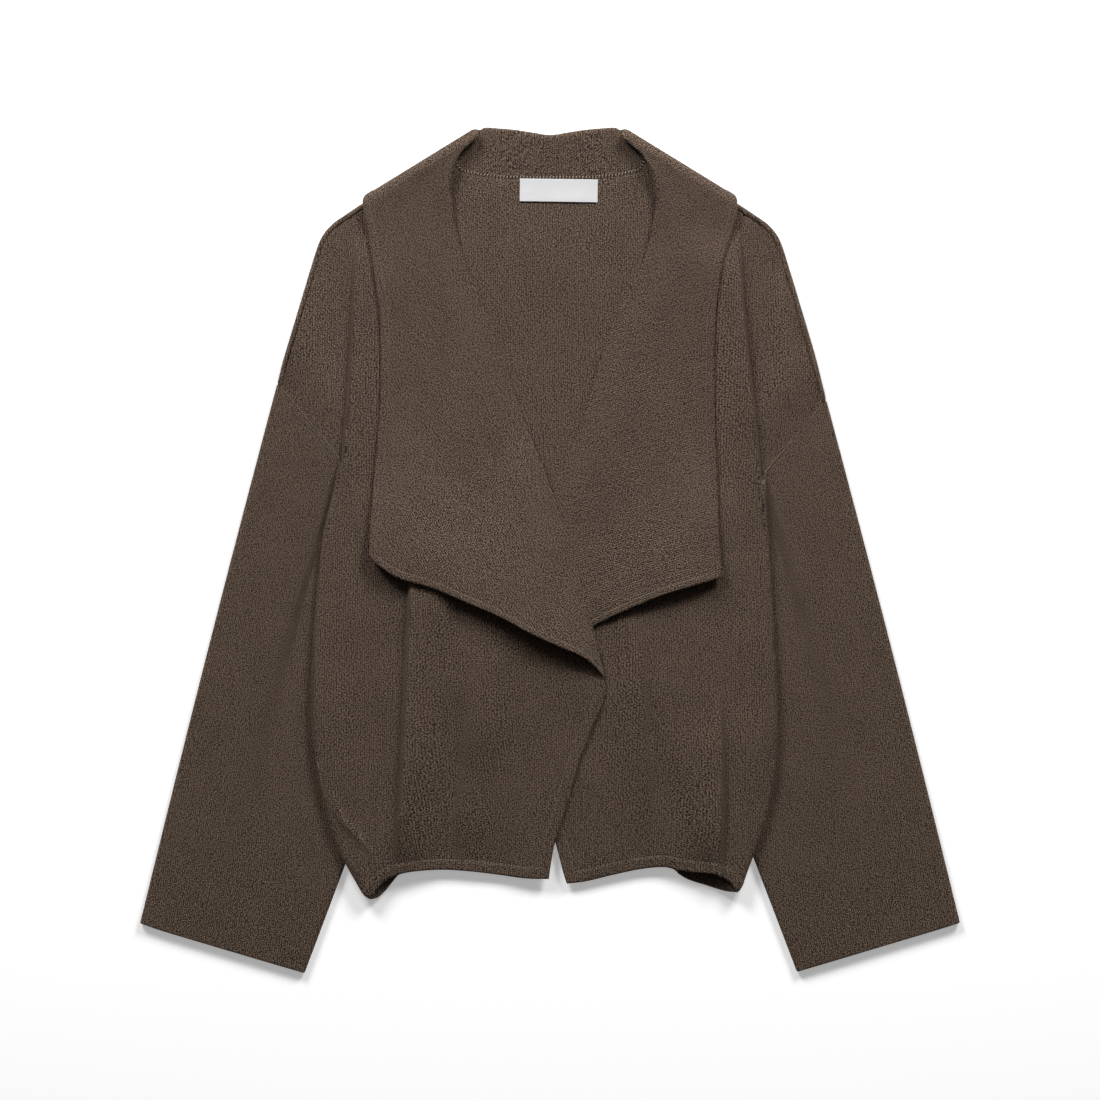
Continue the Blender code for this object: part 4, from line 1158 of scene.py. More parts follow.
@dataclass
class Front:
    """One front panel, with its side turned down to the back.

    Attributes:
        side: which front.
        neck_rows: how many of its rows start on the neck seam.
        edge_rows: how many start on the free edge.
        turn_length: over what length below the armhole the side turns down.
        corner_rise: how much the outer corner of the hem is lifted.
        corner_length: how far that lift reaches.
        side_columns: columns in the turned side.
        seam_columns: points along the shoulder seam, from the crest to the neck.
        main_columns: even columns in the rest.
        rows: even rows.
        break_margin: how far round the break of the lapel the free edge's band starts.
    """

    side: Side
    neck_rows: int = 130
    edge_rows: int = 56
    turn_length: float = 28.0
    corner_rise: float = 1.2
    corner_length: float = 16.0
    side_columns: int = 46
    seam_columns: int = 60
    main_columns: int = 114
    rows: int = 132
    break_margin: float = 2.0

    def __post_init__(self) -> None:
        """Works out the panel's grid."""
        self.patch = self.make_patch()

    def turned_side(self, outer: Array, crest: Array, hem: Array) -> Array:
        """The strip from the outer edge to the crest, with its rise and how far it is turned down."""
        cut = CUTS[self.side]
        seam_line = np.array([row[1] for row in cut.shoulder], float)
        seam = through(seam_line, np.linspace(0, cut.crest_place, self.side_columns))
        plan = coons(seam, hem, outer, crest, shares_of(seam))
        depth = outer[0, 1] - outer[:, 1:]
        evened = smooth(depth / (outer[0, 1] - cut.underarm_fold[1]))
        shares = mix(shares_of(seam), np.linspace(0, 1, self.side_columns), evened)
        plan = np.array([at_shares(line, share) for line, share in zip(plan, shares)])
        straight = mix(outer[:, None], crest[:, None], shares[..., None])
        plan = mix(plan, straight, evened[..., None])
        turned = smooth((cut.underarm_fold[1] - outer[:, 1:]) / self.turn_length)
        quarter = np.linspace(0, math.pi / 2, self.side_columns)
        reach = np.linalg.norm(crest - outer, axis=1)[:, None]
        inward = mix(ON_FLOOR, reach, 1.0 - np.cos(quarter))
        turn = outer[:, None] + toward(outer, crest)[:, None] * inward[..., None]
        plan = mix(plan, turn, turned[..., None])
        rise = np.broadcast_to(np.sin(quarter), plan.shape[:2])
        strip = np.dstack([plan, rise, np.broadcast_to(turned, plan.shape[:2])])
        between = self.side_columns - len(SEAM_STEPS) - len(CREST_STEPS)
        return respace(strip, SEAM_STEPS, CREST_STEPS, between, plan=True)

    def make_patch(self) -> Patch:
        """The panel from its outer edge to its inner edge, row by row from the shoulder to the hem."""
        cut = CUTS[self.side]
        outer, crest, inner = front_rails(self.side, self.neck_rows, self.edge_rows)
        hem_outer, hem_inner = split(cut.hem, crest[-1])
        strip = self.turned_side(outer, crest, hem_outer)
        seam_line = np.array([row[1] for row in cut.shoulder], float)
        seam = through(seam_line, np.linspace(cut.crest_place, len(seam_line) - 1, self.seam_columns))
        main = coons(seam, hem_inner, crest, inner, shares_of(seam))
        main = respace(main, CREST_STEPS[:4], band_steps(BODY_BAND), self.main_columns)
        main = np.dstack([main, np.ones(main.shape[:2]), np.repeat(strip[:, -1:, 3], main.shape[1], axis=1)])
        plan = np.concatenate([strip, main[:, 1:]], axis=1)
        plan = turned_grid(respace(turned_grid(plan), SEAM_STEPS, band_steps(BODY_BAND), self.rows, plan=True))

        edge = plan[:, :1]
        low = LAY.back(self.side, edge[..., 0], edge[..., 1]) + SIDE_START
        corner = 1.0 - lengths(edge[::-1, :, :2], 0)[::-1] / self.corner_length
        low = low + self.corner_rise * smooth(corner)
        height = LAY.front(self.side, plan[..., 0], plan[..., 1])
        top = height[:, self.side_columns - 1:self.side_columns]
        strip_share = (np.arange(plan.shape[1]) < self.side_columns) * plan[..., 3]
        height = mix(height, mix(low, top, plan[..., 2]), strip_share)
        grid = with_height(plan[..., :2], height)

        free = (grid[:, -1:, 1] < cut.front_edge[0][1] + self.break_margin).astype(float)
        across, down = lengths(grid, 1), lengths(grid, 0)
        from_edge, from_hem = across[:, -1:] - across, down[-1:] - down
        half = ON_FLOOR * crossed(mix(1.0, band_wall(from_edge), free), band_wall(from_hem))
        half = half * mix(seam_wall(from_edge), rounded(from_edge, EDGE_ROUND), free)
        half = half * rounded(from_hem, EDGE_ROUND) * seam_wall(across) * seam_wall(down)
        points = on_side(self.side, grid)
        grain = np.stack([points[..., 0] - self.side.value * points[..., 2], points[..., 1]], axis=-1)
        return Patch(points, grain, half)

    def stitch_lines(self) -> list[Array]:
        """The rows of stitches along the hem and the free edge."""
        grid = self.patch.points
        row = grid.shape[0] - 1 - EDGE_STEPS.index(BAND_LINE)
        column = grid.shape[1] - 1 - EDGE_STEPS.index(BAND_LINE)
        free = np.nonzero(grid[:, -1, 1] < CUTS[self.side].front_edge[0][1] - self.break_margin)[0]
        hem = self.patch.on_top(row, slice(0, column + 1), STITCH_LIFT)
        edge = self.patch.on_top(slice(free[0], row + 1), column, STITCH_LIFT)
        return [hem, edge]

    def armhole_line(self) -> Array:
        """The row of links beside the armhole seam."""
        seam = np.nonzero(self.patch.points[:, 0, 1] > CUTS[self.side].underarm_fold[1] + UP_SHIFT)[0]
        return self.patch.on_top(slice(2, seam[-1] + 1), 3, 0.1)

    def build(self, material: bpy.types.Material, thread: bpy.types.Material,
              seam_thread: bpy.types.Material) -> list[Piece]:
        """Makes the panel, its stitches and the links of the armhole seam."""
        name = "front_" + self.side.name.lower()
        cloth = shell(name + "_cloth", [self.patch], material)
        stitches = BAND_STITCHES.sew(name + "_stitches", self.stitch_lines(), thread)
        links = ARMHOLE_LINKS.sew(name + "_links", [self.armhole_line()], seam_thread)
        flat = {Side.RIGHT: (0.262, 0.60), Side.LEFT: (0.260, 0.592)}[self.side]
        rests = ["back_cloth", "sleeve_" + self.side.name.lower() + "_cloth"]
        return [
            Piece(cloth, "body_knit", [name], {
                "flat": flat, "held": "laid", "rests_on": rests, "area": 0.62 * flat[0] * flat[1],
                "with_pieces": [stitches, links]}),
            Piece(stitches, "body_knit"),
            Piece(links, "body_knit"),
        ]


@dataclass
class Back:
    """The back panel, which rolls forward over the shoulders to their seams.

    Attributes:
        edge_rows: points along the outer edge, beside the neck seam and beside the free edge.
        roll_points: points along each shoulder.
        turn_steps: steps round the roll.
        neck_points: points along half the back neck.
        rows: even rows from the shoulder to the hem.
        hem_split: where the part below the shoulder ends at the hem.
    """

    edge_rows: tuple[int, int] = (110, 56)
    roll_points: int = 91
    turn_steps: int = 12
    neck_points: int = 31
    rows: int = 150
    hem_split: Sequence[float] = (72.0, -240.0)

    def shoulder_roll(self, side: Side) -> tuple[Array, Array]:
        """The roll's centre line, and its rows from the seam round to that line."""
        table = np.array(CUTS[side].shoulder, float)
        places = np.linspace(0, len(table) - 1, self.roll_points)
        edge, seam = through(table[:, 0], places), through(table[:, 1], places)
        run = toward(edge[:-1], edge[1:])
        run = np.concatenate([run[:1], (run[1:] + run[:-1]) / 2, run[-1:]])
        across = toward(seam, edge)
        crossing = np.abs(across[:, 0] * run[:, 1] - across[:, 1] * run[:, 0])[:, None]
        radius = TUBE_RISE / 2
        centre = edge - across * (ON_FLOOR + radius) / crossing
        low = LAY.back(side, centre[:, 0], centre[:, 1])
        lift = LAY.unevenness(side, centre[:, 0], centre[:, 1])
        rows = [with_height(seam + across * SEAM_GAP, low + TUBE_RISE + lift)]
        for angle in np.radians(np.linspace(90, -90, self.turn_steps + 1)):
            plan = centre + across * radius * math.cos(angle) / crossing
            up = (1.0 + math.sin(angle)) / 2
            rows.append(with_height(plan, low + TUBE_RISE * up + lift * up))
        return centre, np.array(rows)

    def half_patches(self, side: Side) -> list[Patch]:
        """One half of the back: its shoulder roll, the part below the shoulder and the part below the neck."""
        cut = CUTS[side]
        outer = front_rails(side, *self.edge_rows)[0]
        centre, roll = self.shoulder_roll(side)
        outer[0] = centre[0]
        hem_outer, hem_inner = split(cut.back_hem, self.hem_split)
        ends = np.linspace(0, 1, len(outer))[:, None]
        below_neck = mix(np.array(BACK_CORNER), hem_outer[-1], ends)
        middle = mix(np.array(BACK_NECK[-1], float), hem_inner[-1], ends)
        neck = at_shares(fine(BACK_NECK), np.linspace(0, 1, self.neck_points))
        made = []
        for first, last, near, far in ((centre, hem_outer, outer, below_neck), (neck, hem_inner, below_neck, middle)):
            plan = coons(first, last, near, far, shares_of(first))
            plan = turned_grid(respace(turned_grid(plan), (0.0,), band_steps(BODY_BAND), self.rows))
            height = LAY.back(side, plan[..., 0], plan[..., 1])
            grid = with_height(plan, height)
            down = lengths(grid, 0)
            from_hem = down[-1:] - down
            half = ON_FLOOR * band_wall(from_hem)
            grid[..., 2] += half - ON_FLOOR
            half = half * rounded(from_hem, EDGE_ROUND)
            half = half * seam_wall(lengths(grid, 1) if near is outer else down)
            points = on_side(side, grid)
            made.append(Patch(points, points[..., :2].copy(), half))
        roll = roll.copy()
        roll[-1] = made[0].points[0] * (side.value, 1.0, 1.0) - (0.0, UP_SHIFT, 0.0)
        across = lengths(roll, 0)
        points = on_side(side, roll)
        outward = toward(points[0], points[-1])[None]
        grain = points[-1:, :, :2] - outward * (across[-1:] - across)[..., None]
        half = ON_FLOOR * seam_wall(across) * seam_wall(lengths(roll, 1))
        half[-1] = made[0].half[0]
        made.append(Patch(points, grain, half))
        return made

    def build(self, material: bpy.types.Material, thread: bpy.types.Material) -> list[Piece]:
        """Makes the panel, and the stitches along the inside of its hem."""
        patches, lines = [], []
        for side in Side:
            half = self.half_patches(side)
            patches += half
            row = half[0].points.shape[0] - 1 - EDGE_STEPS.index(BAND_LINE)
            lines += [patch.on_top(row, slice(None), STITCH_LIFT) for patch in half[:2]]
        cloth = shell("back_cloth", patches, material)
        stitches = BAND_STITCHES.sew("back_stitches", lines, thread)
        return [
            Piece(cloth, "body_knit", ["back"], {
                "flat": (0.44, 0.60), "held": "laid", "rests_on": ["floor"], "area": 0.215,
                "with_pieces": [stitches]}),
            Piece(stitches, "body_knit"),
        ]


# ---------------------------------------------------------------- sleeves
@dataclass
class Sleeve:
    """A wide sleeve: a flattened tube, open at the armhole and the cuff.

    Attributes:
        side: which sleeve.
        sections: how many sections it is drawn from.
        cap_points: points across each of them.
        bow: how far its outer edge bows out.
        flats: points across each flat layer.
        turn_steps: steps in half of each turn.
        rows: even rows from the armhole to the cuff.
        hidden_cover: where its creases and waves end, before it goes under the body.
        tuck: how far its upper layer goes under the body's side.
        tuck_reach: how far down the sleeve that reaches.
        tuck_start: over what length it starts, below the visible seam.
        tuck_end: how far below the turn under the body it ends, and over what length.
    """

    side: Side
    sections: int = 40
    cap_points: int = 49
    bow: float = 1.3
    flats: int = 44
    turn_steps: int = 7
    rows: int = 118
    hidden_cover: Sequence[float] = (30.0, 20.0)
    tuck: float = 5.0
    tuck_reach: float = 16.0
    tuck_start: float = 7.0
    tuck_end: Sequence[float] = (40.0, 30.0)

    def plan(self) -> tuple[Array, Array, Array]:
        """Rows from edge to edge in plan, and the outer and inner edges themselves."""
        cut = CUTS[self.side]
        top, fold = cut.shoulder[0][0], cut.underarm_fold
        down = toward(top, fold)
        away = np.array([-down[1], down[0]]) * SEAM_GAP
        end = np.array([np.add(top, away), np.add(fold, away) + (SLEEVE_GAP, 0),
                        np.add(cut.turn_under, (SLEEVE_GAP, 0)), cut.underarm])
        way = np.linspace(0, 1, self.sections)[:, None]
        outer = mix(end[0], np.array(cut.cuff[0]), way) + np.sin(np.pi * way) * (self.bow, 0.0)
        inner = mix(end[-1], np.array(cut.cuff[-1]), way)
        shares = np.unique([*np.linspace(0, 1, self.cap_points), *shares_of(end)])
        return coons(end, fine(cut.cuff), outer, inner, shares), outer, inner

    def build(self, material: bpy.types.Material) -> list[Piece]:
        """Makes the tube."""
        plan, outer, inner = self.plan()
        radius = TUBE_RISE / 2
        middle = ON_FLOOR + radius
        angles = np.linspace(0, math.pi / 2, self.turn_steps)
        turn, rise = ON_FLOOR + radius * (1 - np.cos(angles)), radius * np.sin(angles)
        rings = []
        for i, line in enumerate(plan):
            before, after = max(i - 1, 0), min(i + 1, len(plan) - 1)
            start = turn * self.slant(toward(outer[before], outer[after]), toward(line[0], line[1]))
            stop = run_of(line)[-1] - turn * self.slant(toward(inner[before], inner[after]), toward(line[-1], line[-2]))
            flat = np.linspace(start[-1], stop[-1], self.flats)[1:-1]
            distances = np.concatenate([start, flat, stop[::-1]])
            heights = np.concatenate([rise, np.full(len(flat), radius), rise[::-1]])
            there = at_distances(line, distances)
            wave = LAY.unevenness(self.side, there[:, 0], there[:, 1])
            hidden = LAY.over_sleeve(self.side, there[:, 0], there[:, 1], *self.hidden_cover)
            lift = (wave + self.creases(there)) * (1.0 - hidden) * heights / radius
            upper = with_height(there, middle + heights + lift)
            lower = with_height(there, middle - heights)
            rings.append(np.concatenate([upper, lower[-2:0:-1], upper[:1]]))
        grid = np.array(rings)
        grid = turned_grid(respace(turned_grid(grid), SEAM_STEPS, SEAM_STEPS, self.rows))
        grid[:, -1] = grid[:, 0]
        down = lengths(grid, 0)
        upper_share = np.clip((grid[..., 2] - middle) / radius, 0.0, 1.0)
        near_end = 1.0 - smooth(down / self.tuck_reach)
        grid[..., 0] -= self.tuck * self.tucked(grid[..., 1]) * near_end * upper_share
        half = ON_FLOOR * seam_wall(down) * rounded(down[-1:] - down, ON_FLOOR)
        points = on_side(self.side, grid)
        axis = toward((outer[0] + inner[0]) / 2, (outer[-1] + inner[-1]) / 2) * (self.side.value, 1.0)
        across = lengths(points, 1)
        along = points[..., :2] @ axis
        square = points[:, :1, :2] @ np.array([-axis[1], axis[0]])
        grain = np.stack([square + self.side.value * across, along], axis=-1)
        name = "sleeve_" + self.side.name.lower()
        cloth = shell(name + "_cloth", [Patch(points, grain, half)], material)
        return [Piece(cloth, "sleeve_knit", [name], {
            "flat": (0.46, 0.47), "held": "laid", "rests_on": ["floor"], "area": 0.13})]

    def tucked(self, up: Array) -> Array:
        """Where the sleeve's upper layer goes in under the body's side, just below the visible seam."""
        cut = CUTS[self.side]
        start = fading(up, cut.underarm_fold[1], self.tuck_start)
        return start * rising(up - cut.turn_under[1], -self.tuck_end[0], self.tuck_end[1])

    def creases(self, plan: Array) -> Array:
        """The sleeve's own soft troughs."""
        return sum(fold.at(plan[:, 0], plan[:, 1]) for fold in SLEEVE_FOLDS[self.side])

    @staticmethod
    def slant(edge_run: Array, row_run: Array) -> float:
        """How much longer a turn gets where its rows cross the edge at a slant."""
        return 1.0 / abs(edge_run[0] * row_run[1] - edge_run[1] * row_run[0])


SLEEVE_FOLDS = {
    Side.RIGHT: (
        Fold(((206, 96), (226, 20), (248, -60), (262, -130)), (0, -0.9, -1.0, 0), 20.0, 26.0),
        Fold(((196, -10), (206, -90), (222, -180), (232, -250)), (0, 0.9, 1.0, 0), 24.0, 22.0),
    ),
    Side.LEFT: (
        Fold(((208, 86), (224, 10), (240, -70), (252, -140)), (0, -0.8, -0.9, 0), 22.0, 24.0),
        Fold(((198, -20), (214, -110), (232, -190), (246, -260)), (0, 0.8, 1.0, 0), 20.0, 26.0),
    ),
}


# ---------------------------------------------------------------- collar
@dataclass
class ShawlCollar:
    """The draped collar in one piece, from the right lapel round the neck to the left lapel.

    Attributes:
        fall_columns: points across the fall in each section.
        stand_columns: points across the stand.
        even_columns: columns between the outer band and the roll.
        inner_columns: columns from the roll to the neck seam.
        lapel_rows: rows of each lapel.
        neck_pitch: the distance between rows round the neck.
        fall_radius: the radius at which the fall turns over the shoulder.
        stand_radius: the radius of the roll there.
        fold_outer: where the outer edge turns over the shoulder.
        fold_roll: where the roll does.
        fold_drift: how far the roll moves as it goes under.
        fold_seam: how far past the neck's corner the seam lies there.
        stand_top: the stand's height at the middle of the back.
        bent_rows: how many sections up the bend of the lower edge fades.
        edge_lift: how much of the lower edge's lift each section keeps.
        neck_sections: roll and outer edge of the hidden fall, behind the neck.
        fold_angles: the angles of the sections over the shoulder.
        corner_cut: how much shorter the fall is at each of them.
        lead_places: the last sections of a lapel before the shoulder.
        shoulder_places: over how many places of the neck seam the lapel rises to the shoulder.
        low_places: from which place down the lapel lies low, and over how many it gets there.
        low_rise: the height of the roll there.
        low_sink: how far the lapel sinks beside that roll.
        roll_reach: how far from the roll it does.
        wave_share: how much of the cloth's waves is taken out there.
        sink_share: how much of the rise over the left side is taken out there.
        roll_wall: the share of its thickness that the cloth keeps at the roll.
        roll_wall_reach: how far from the roll it is thin.
        roll_wall_below: up to where it is.
        roll_angles: the angles of the points round the roll.
    """

    fall_columns: int = 72
    stand_columns: int = 9
    even_columns: int = 52
    inner_columns: int = 26
    lapel_rows: int = 170
    neck_pitch: float = 2.6
    fall_radius: float = 6.05
    stand_radius: float = 2.0
    fold_outer: Sequence[float] = (149.0, 274.75)
    fold_roll: Sequence[float] = (56.7, 331.4)
    fold_drift: Sequence[float] = (-2.0, 4.6)
    fold_seam: float = 0.5
    stand_top: float = 6.6
    bent_rows: float = 2.0
    edge_lift: Sequence[float] = (1.0, 0.7, 0.36, 0.12, 0.02, 0.0)
    neck_sections: Sequence[Table] = (
        ((51.5, 337.8), (138.0, 268)), ((40.0, 337.3), (128.0, 262)), ((27.0, 336.1), (98.0, 255)),
        ((13.0, 334.0), (50.0, 254)), ((0.0, 332.3), (0.0, 254)))
    fold_angles: Sequence[float] = (0, 30, 60, 90, 125, 180)
    corner_cut: Sequence[float] = (0.0, 1.0, 3.4, 7.0, 9.0, 3.0)
    lead_places: Sequence[float] = (0.8, 0.4, 0.0)
    shoulder_places: float = 3.0
    low_places: Sequence[float] = (1.0, 3.0)
    low_rise: float = 1.6
    low_sink: float = 2.1
    roll_reach: float = 30.0
    wave_share: float = 0.7
    sink_share: float = 0.15
    roll_wall: float = 0.6
    roll_wall_reach: float = 12.0
    roll_wall_below: Sequence[float] = (285.0, 45.0)
    roll_angles: Sequence[float] = (75, 60, 45, 30, 15, 0, -15, -30, -45, -60, -75, -90)

    def turned_roll(self, centre: Array, across: Array, low: float, high: float) -> list[tuple]:
        """The points of a roll.

        Args:
            centre: its axis, in plan.
            across: the unit vector in plan from the roll to the outer edge.
            low: the height of its last point.
            high: the height of its top.

        Returns:
            Points from just past its top round to the last one.
        """
        radius, middle = (high - low) / 2, (high + low) / 2
        return [
            (*(centre - across * abs(radius) * math.cos(angle)), middle + radius * math.sin(angle))
            for angle in np.radians(self.roll_angles)
        ]

    def stand_points(self, centre: Array, end: Array, low: float, seam: float) -> list[tuple]:
        """The points of the stand, from under the roll to the neck seam."""
        ways = np.linspace(0, 1, self.stand_columns)[1:]
        return [(*mix(centre, end, way), mix(low, seam, way)) for way in ways]

    def lapel_section(self, side: Side, place: float) -> Array:
        """A section of a lapel, from its outer edge over the roll to a place on the neck seam."""
        cut = CUTS[side]
        row = len(cut.lapel_sections) - 1 - place
        table = np.array(cut.lapel_sections, float)
        roll, edge = through(table[:, 0], row), through(table[:, 1], row)
        neck = through(cut.neck_seam, place)
        across = toward(roll, edge)
        at_fold = float(smooth(1.0 - place / self.shoulder_places))
        low = float(rising(place, *self.low_places))
        rise = mix(mix(ROLL_RISE, 2 * self.stand_radius, at_fold), self.low_rise, low)
        centre = roll + across * (ON_FLOOR + rise / 2)
        shares = np.linspace(0, 1, self.fall_columns)
        lower = at_shares(fine(cut.lapel_edge), shares)
        bend = lower[:, :2] - mix(lower[0, :2], lower[-1, :2], shares[:, None])
        plan = mix(edge, centre, shares[:, None]) + bend * max(0.0, 1.0 - row / self.bent_rows) ** 1.5

        near_roll = 1.0 - smooth(np.linalg.norm(plan - centre, axis=1) / self.roll_reach)
        wave = LAY.unevenness(side, plan[:, 0], plan[:, 1])
        sink = self.low_sink + self.wave_share * wave
        if side is Side.RIGHT:
            sink = sink + self.sink_share * LAY.over_left_side(plan[:, 0], plan[:, 1])
        base = LAY.front(side, plan[:, 0], plan[:, 1]) - low * near_roll * sink
        lying = base + mix(LAPEL_RISE, rise, near_roll)
        lift = np.interp(row, range(len(self.edge_lift)), self.edge_lift)
        lifted = mix(lying, lower[:, 2], lift)
        height = mix(np.maximum(lying, lifted), self.fold_height + self.fall_radius, at_fold)

        stand = height[-1] - rise
        seam = float(LAY.front(side, neck[0], neck[1]))
        end = neck + toward(neck, centre) * HIDDEN_GAP
        turn = self.turned_roll(centre, across, stand, height[-1])
        return np.array([*with_height(plan, height), *turn, *self.stand_points(centre, end, stand, seam)])

    @property
    def fold_height(self) -> float:
        """The height of the axis that the collar turns round over the shoulder."""
        return ON_FLOOR + self.fall_radius

    def fold_section(self, angle: float) -> Array:
        """A section where the collar turns over the shoulder, at an angle from the top of the turn."""
        start, stop = np.array(self.fold_outer), np.array(self.fold_roll)
        run = toward(start, stop)
        off = np.array([run[1], -run[0]])
        length = np.linalg.norm(stop - start)
        centre = length - ON_FLOOR - self.stand_radius
        seam = float(np.dot(np.subtract(BACK_CORNER, start), run)) + self.fold_seam
        first = float(np.interp(math.degrees(angle), self.fold_angles, self.corner_cut))
        places = [(s, self.fall_radius) for s in np.linspace(first, centre, self.fall_columns)]
        for turn in np.radians(self.roll_angles):
            rise = self.stand_radius * (1 - math.sin(turn))
            places.append((centre + self.stand_radius * math.cos(turn), self.fall_radius - rise))
        inner = self.fall_radius - 2 * self.stand_radius
        places += [(mix(centre, seam, way), inner) for way in np.linspace(0, 1, self.stand_columns)[1:]]
        drift = np.array(self.fold_drift) * max(0.0, angle / (math.pi / 2) - 1.0)
        points = []
        for s, radius in places:
            plan = start + run * s + off * radius * math.sin(angle)
            plan = plan + drift * max(0.0, (s - seam) / (length - seam))
            points.append((*plan, self.fold_height + radius * math.cos(angle)))
        return np.array(points)

    def neck_section(self, number: int) -> Array:
        """A section behind the neck, where the fall lies under the back."""
        roll, edge = np.array(self.neck_sections[number - 1], float)
        neck = np.array(BACK_NECK[number], float)
        stand = mix(ON_FLOOR + 2 * self.stand_radius, self.stand_top, number / len(self.neck_sections))
        across = toward(roll, edge)
        centre = roll + across * (stand + ON_FLOOR) / 2
        shares = np.linspace(0, 1, self.fall_columns)[:, None]
        fall = with_height(mix(edge, centre, shares), np.full(self.fall_columns, ON_FLOOR))
        seam = float(LAY.back(Side.RIGHT, neck[0], neck[1]))
        end = neck + toward(neck, centre) * SEAM_GAP
        turn = self.turned_roll(centre, across, stand, ON_FLOOR)
        return np.array([*fall, *turn, *self.stand_points(centre, end, stand, seam)])

    @property
    def roll_column(self) -> int:
        """The number of the column where the fall ends and the roll starts."""
        return len(EDGE_STEPS) + self.even_columns

    def neck_rows(self) -> tuple[Array, int, int]:
        """The rows from one shoulder round the neck to the other.

        Returns:
            The rows, and the numbers of the two that lie furthest out over the shoulders.
        """
        halves = []
        for side in Side:
            half = [self.lapel_section(side, place) for place in self.lead_places]
            half += [self.fold_section(math.radians(angle)) for angle in self.fold_angles]
            half += [self.neck_section(number) for number in range(1, len(BACK_NECK))]
            halves.append(on_side(side, np.array(half)))
        rows = np.concatenate([halves[0], halves[1][-2::-1]])
        gaps = np.linalg.norm(np.diff(rows, axis=0), axis=-1).mean(axis=1)
        knots = np.concatenate([[0.0], np.cumsum(gaps)])
        lead = len(self.lead_places)
        outmost = lead + self.fold_angles.index(90)
        stops = (lead - 1, outmost, len(rows) - 1 - outmost, len(rows) - lead)
        places, marks = [], []
        for start, stop in zip(stops, stops[1:]):
            count = max(2, round((knots[stop] - knots[start]) / self.neck_pitch))
            places += list(np.linspace(knots[start], knots[stop], count + 1)[:-1])
            marks.append(len(places))
        places.append(knots[stops[-1]])
        return through(rows, np.array(places), knots), marks[0], marks[1]

    def lapel_grid(self, side: Side) -> Array:
        """The rows of a lapel, from its lower edge to the shoulder."""
        places = np.linspace(len(CUTS[side].neck_seam) - 1, 0, self.lapel_rows)
        return on_side(side, np.array([self.lapel_section(side, place) for place in places]))

    def patches(self) -> list[Patch]:
        """Right lapel, neck and left lapel, each with its own run of stitches."""
        neck, right_turn, left_turn = self.neck_rows()
        right, left = self.lapel_grid(Side.RIGHT), self.lapel_grid(Side.LEFT)
        grid = np.concatenate([right[:-1], neck, left[-2::-1]])
        fall, rest = grid[:, : self.fall_columns], grid[:, self.fall_columns - 1:]
        fall = respace(fall, band_steps(COLLAR_BAND), (0.0,), self.even_columns)
        rest = respace(rest, (0.0,), SEAM_STEPS, self.inner_columns)
        grid = np.concatenate([fall, rest[:, 1:]], axis=1)
        turns = (len(right) - 1 + right_turn, len(right) - 1 + left_turn)
        lapels = [grid[: turns[0] + 1], grid[turns[0]: turns[1] + 1], grid[turns[1]:][::-1]]
        made = []
        for part, side in zip(lapels, (Side.RIGHT, None, Side.LEFT)):
            if side is not None:
                part = turned_grid(respace(turned_grid(part), band_steps(COLLAR_BAND), (0.0,), self.lapel_rows))
            across, down = lengths(part, 1), lengths(part, 0)
            from_roll = np.abs(across - across[:, self.roll_column, None])
            thin = 1.0 - smooth(from_roll / self.roll_wall_reach)
            thin = thin * fading(part[:, self.roll_column, 1, None], *self.roll_wall_below)
            half = ON_FLOOR * band_wall(across, COLLAR_BAND)
            if side is not None:
                half = ON_FLOOR * crossed(band_wall(across, COLLAR_BAND), band_wall(down, COLLAR_BAND))
                half = half * rounded(down, EDGE_ROUND)
            half = half * mix(1.0, self.roll_wall, thin)
            half = half * rounded(across, EDGE_ROUND) * seam_wall(across[:, -1:] - across)
            part[..., 2] = np.maximum(part[..., 2], half)
            made.append(Patch(part, self.grain(part, across, side), half))
        return made

    def grain(self, part: Array, across: Array, side: Optional[Side]) -> Array:
        """The run of the stitches: along the sections behind the neck, and leaning on the lapels."""
        if side is None:
            return np.stack([part[..., 0], across], axis=-1)
        middle = part.shape[0] // 3
        section = toward(part[middle, 0], part[middle, self.fall_columns // 2])
        along = part[:, :1, :2] @ section + across
        square = part[..., :2] @ np.array([-section[1], section[0]])
        lean = math.radians(CUTS[side].grain) * side.value
        return np.stack([square * math.cos(lean) - along * math.sin(lean),
                         square * math.sin(lean) + along * math.cos(lean)], axis=-1)

    def build(self, material: bpy.types.Material, thread: bpy.types.Material,
              seam_thread: bpy.types.Material) -> list[Piece]:
        """Makes the collar, the stitches along its edges and the links of the neck seam."""
        patches = self.patches()
        line = EDGE_STEPS.index(BAND_LINE)
        lines = []
        for patch in (patches[0], patches[2]):
            lines.append(patch.on_top(slice(line, None), line, STITCH_LIFT))
            lines.append(patch.on_top(line, slice(line, self.roll_column - 2), STITCH_LIFT))
        cloth = shell("collar_cloth", patches, material)
        stitches = BAND_STITCHES.sew("collar_stitches", lines, thread)
        seam = patches[1].on_top(slice(None), -2, 1.05)
        links = NECK_LINKS.sew("neck_links", [seam], seam_thread)
        return [
            Piece(cloth, "collar_knit", ["collar"], {
                "flat": (0.22, 1.02), "held": "draped", "area": 0.126,
                "rests_on": ["back_cloth", "front_right_cloth", "front_left_cloth"],
                "with_pieces": [stitches, links]}),
            Piece(stitches, "collar_knit"),
            Piece(links, "collar_knit"),
        ]


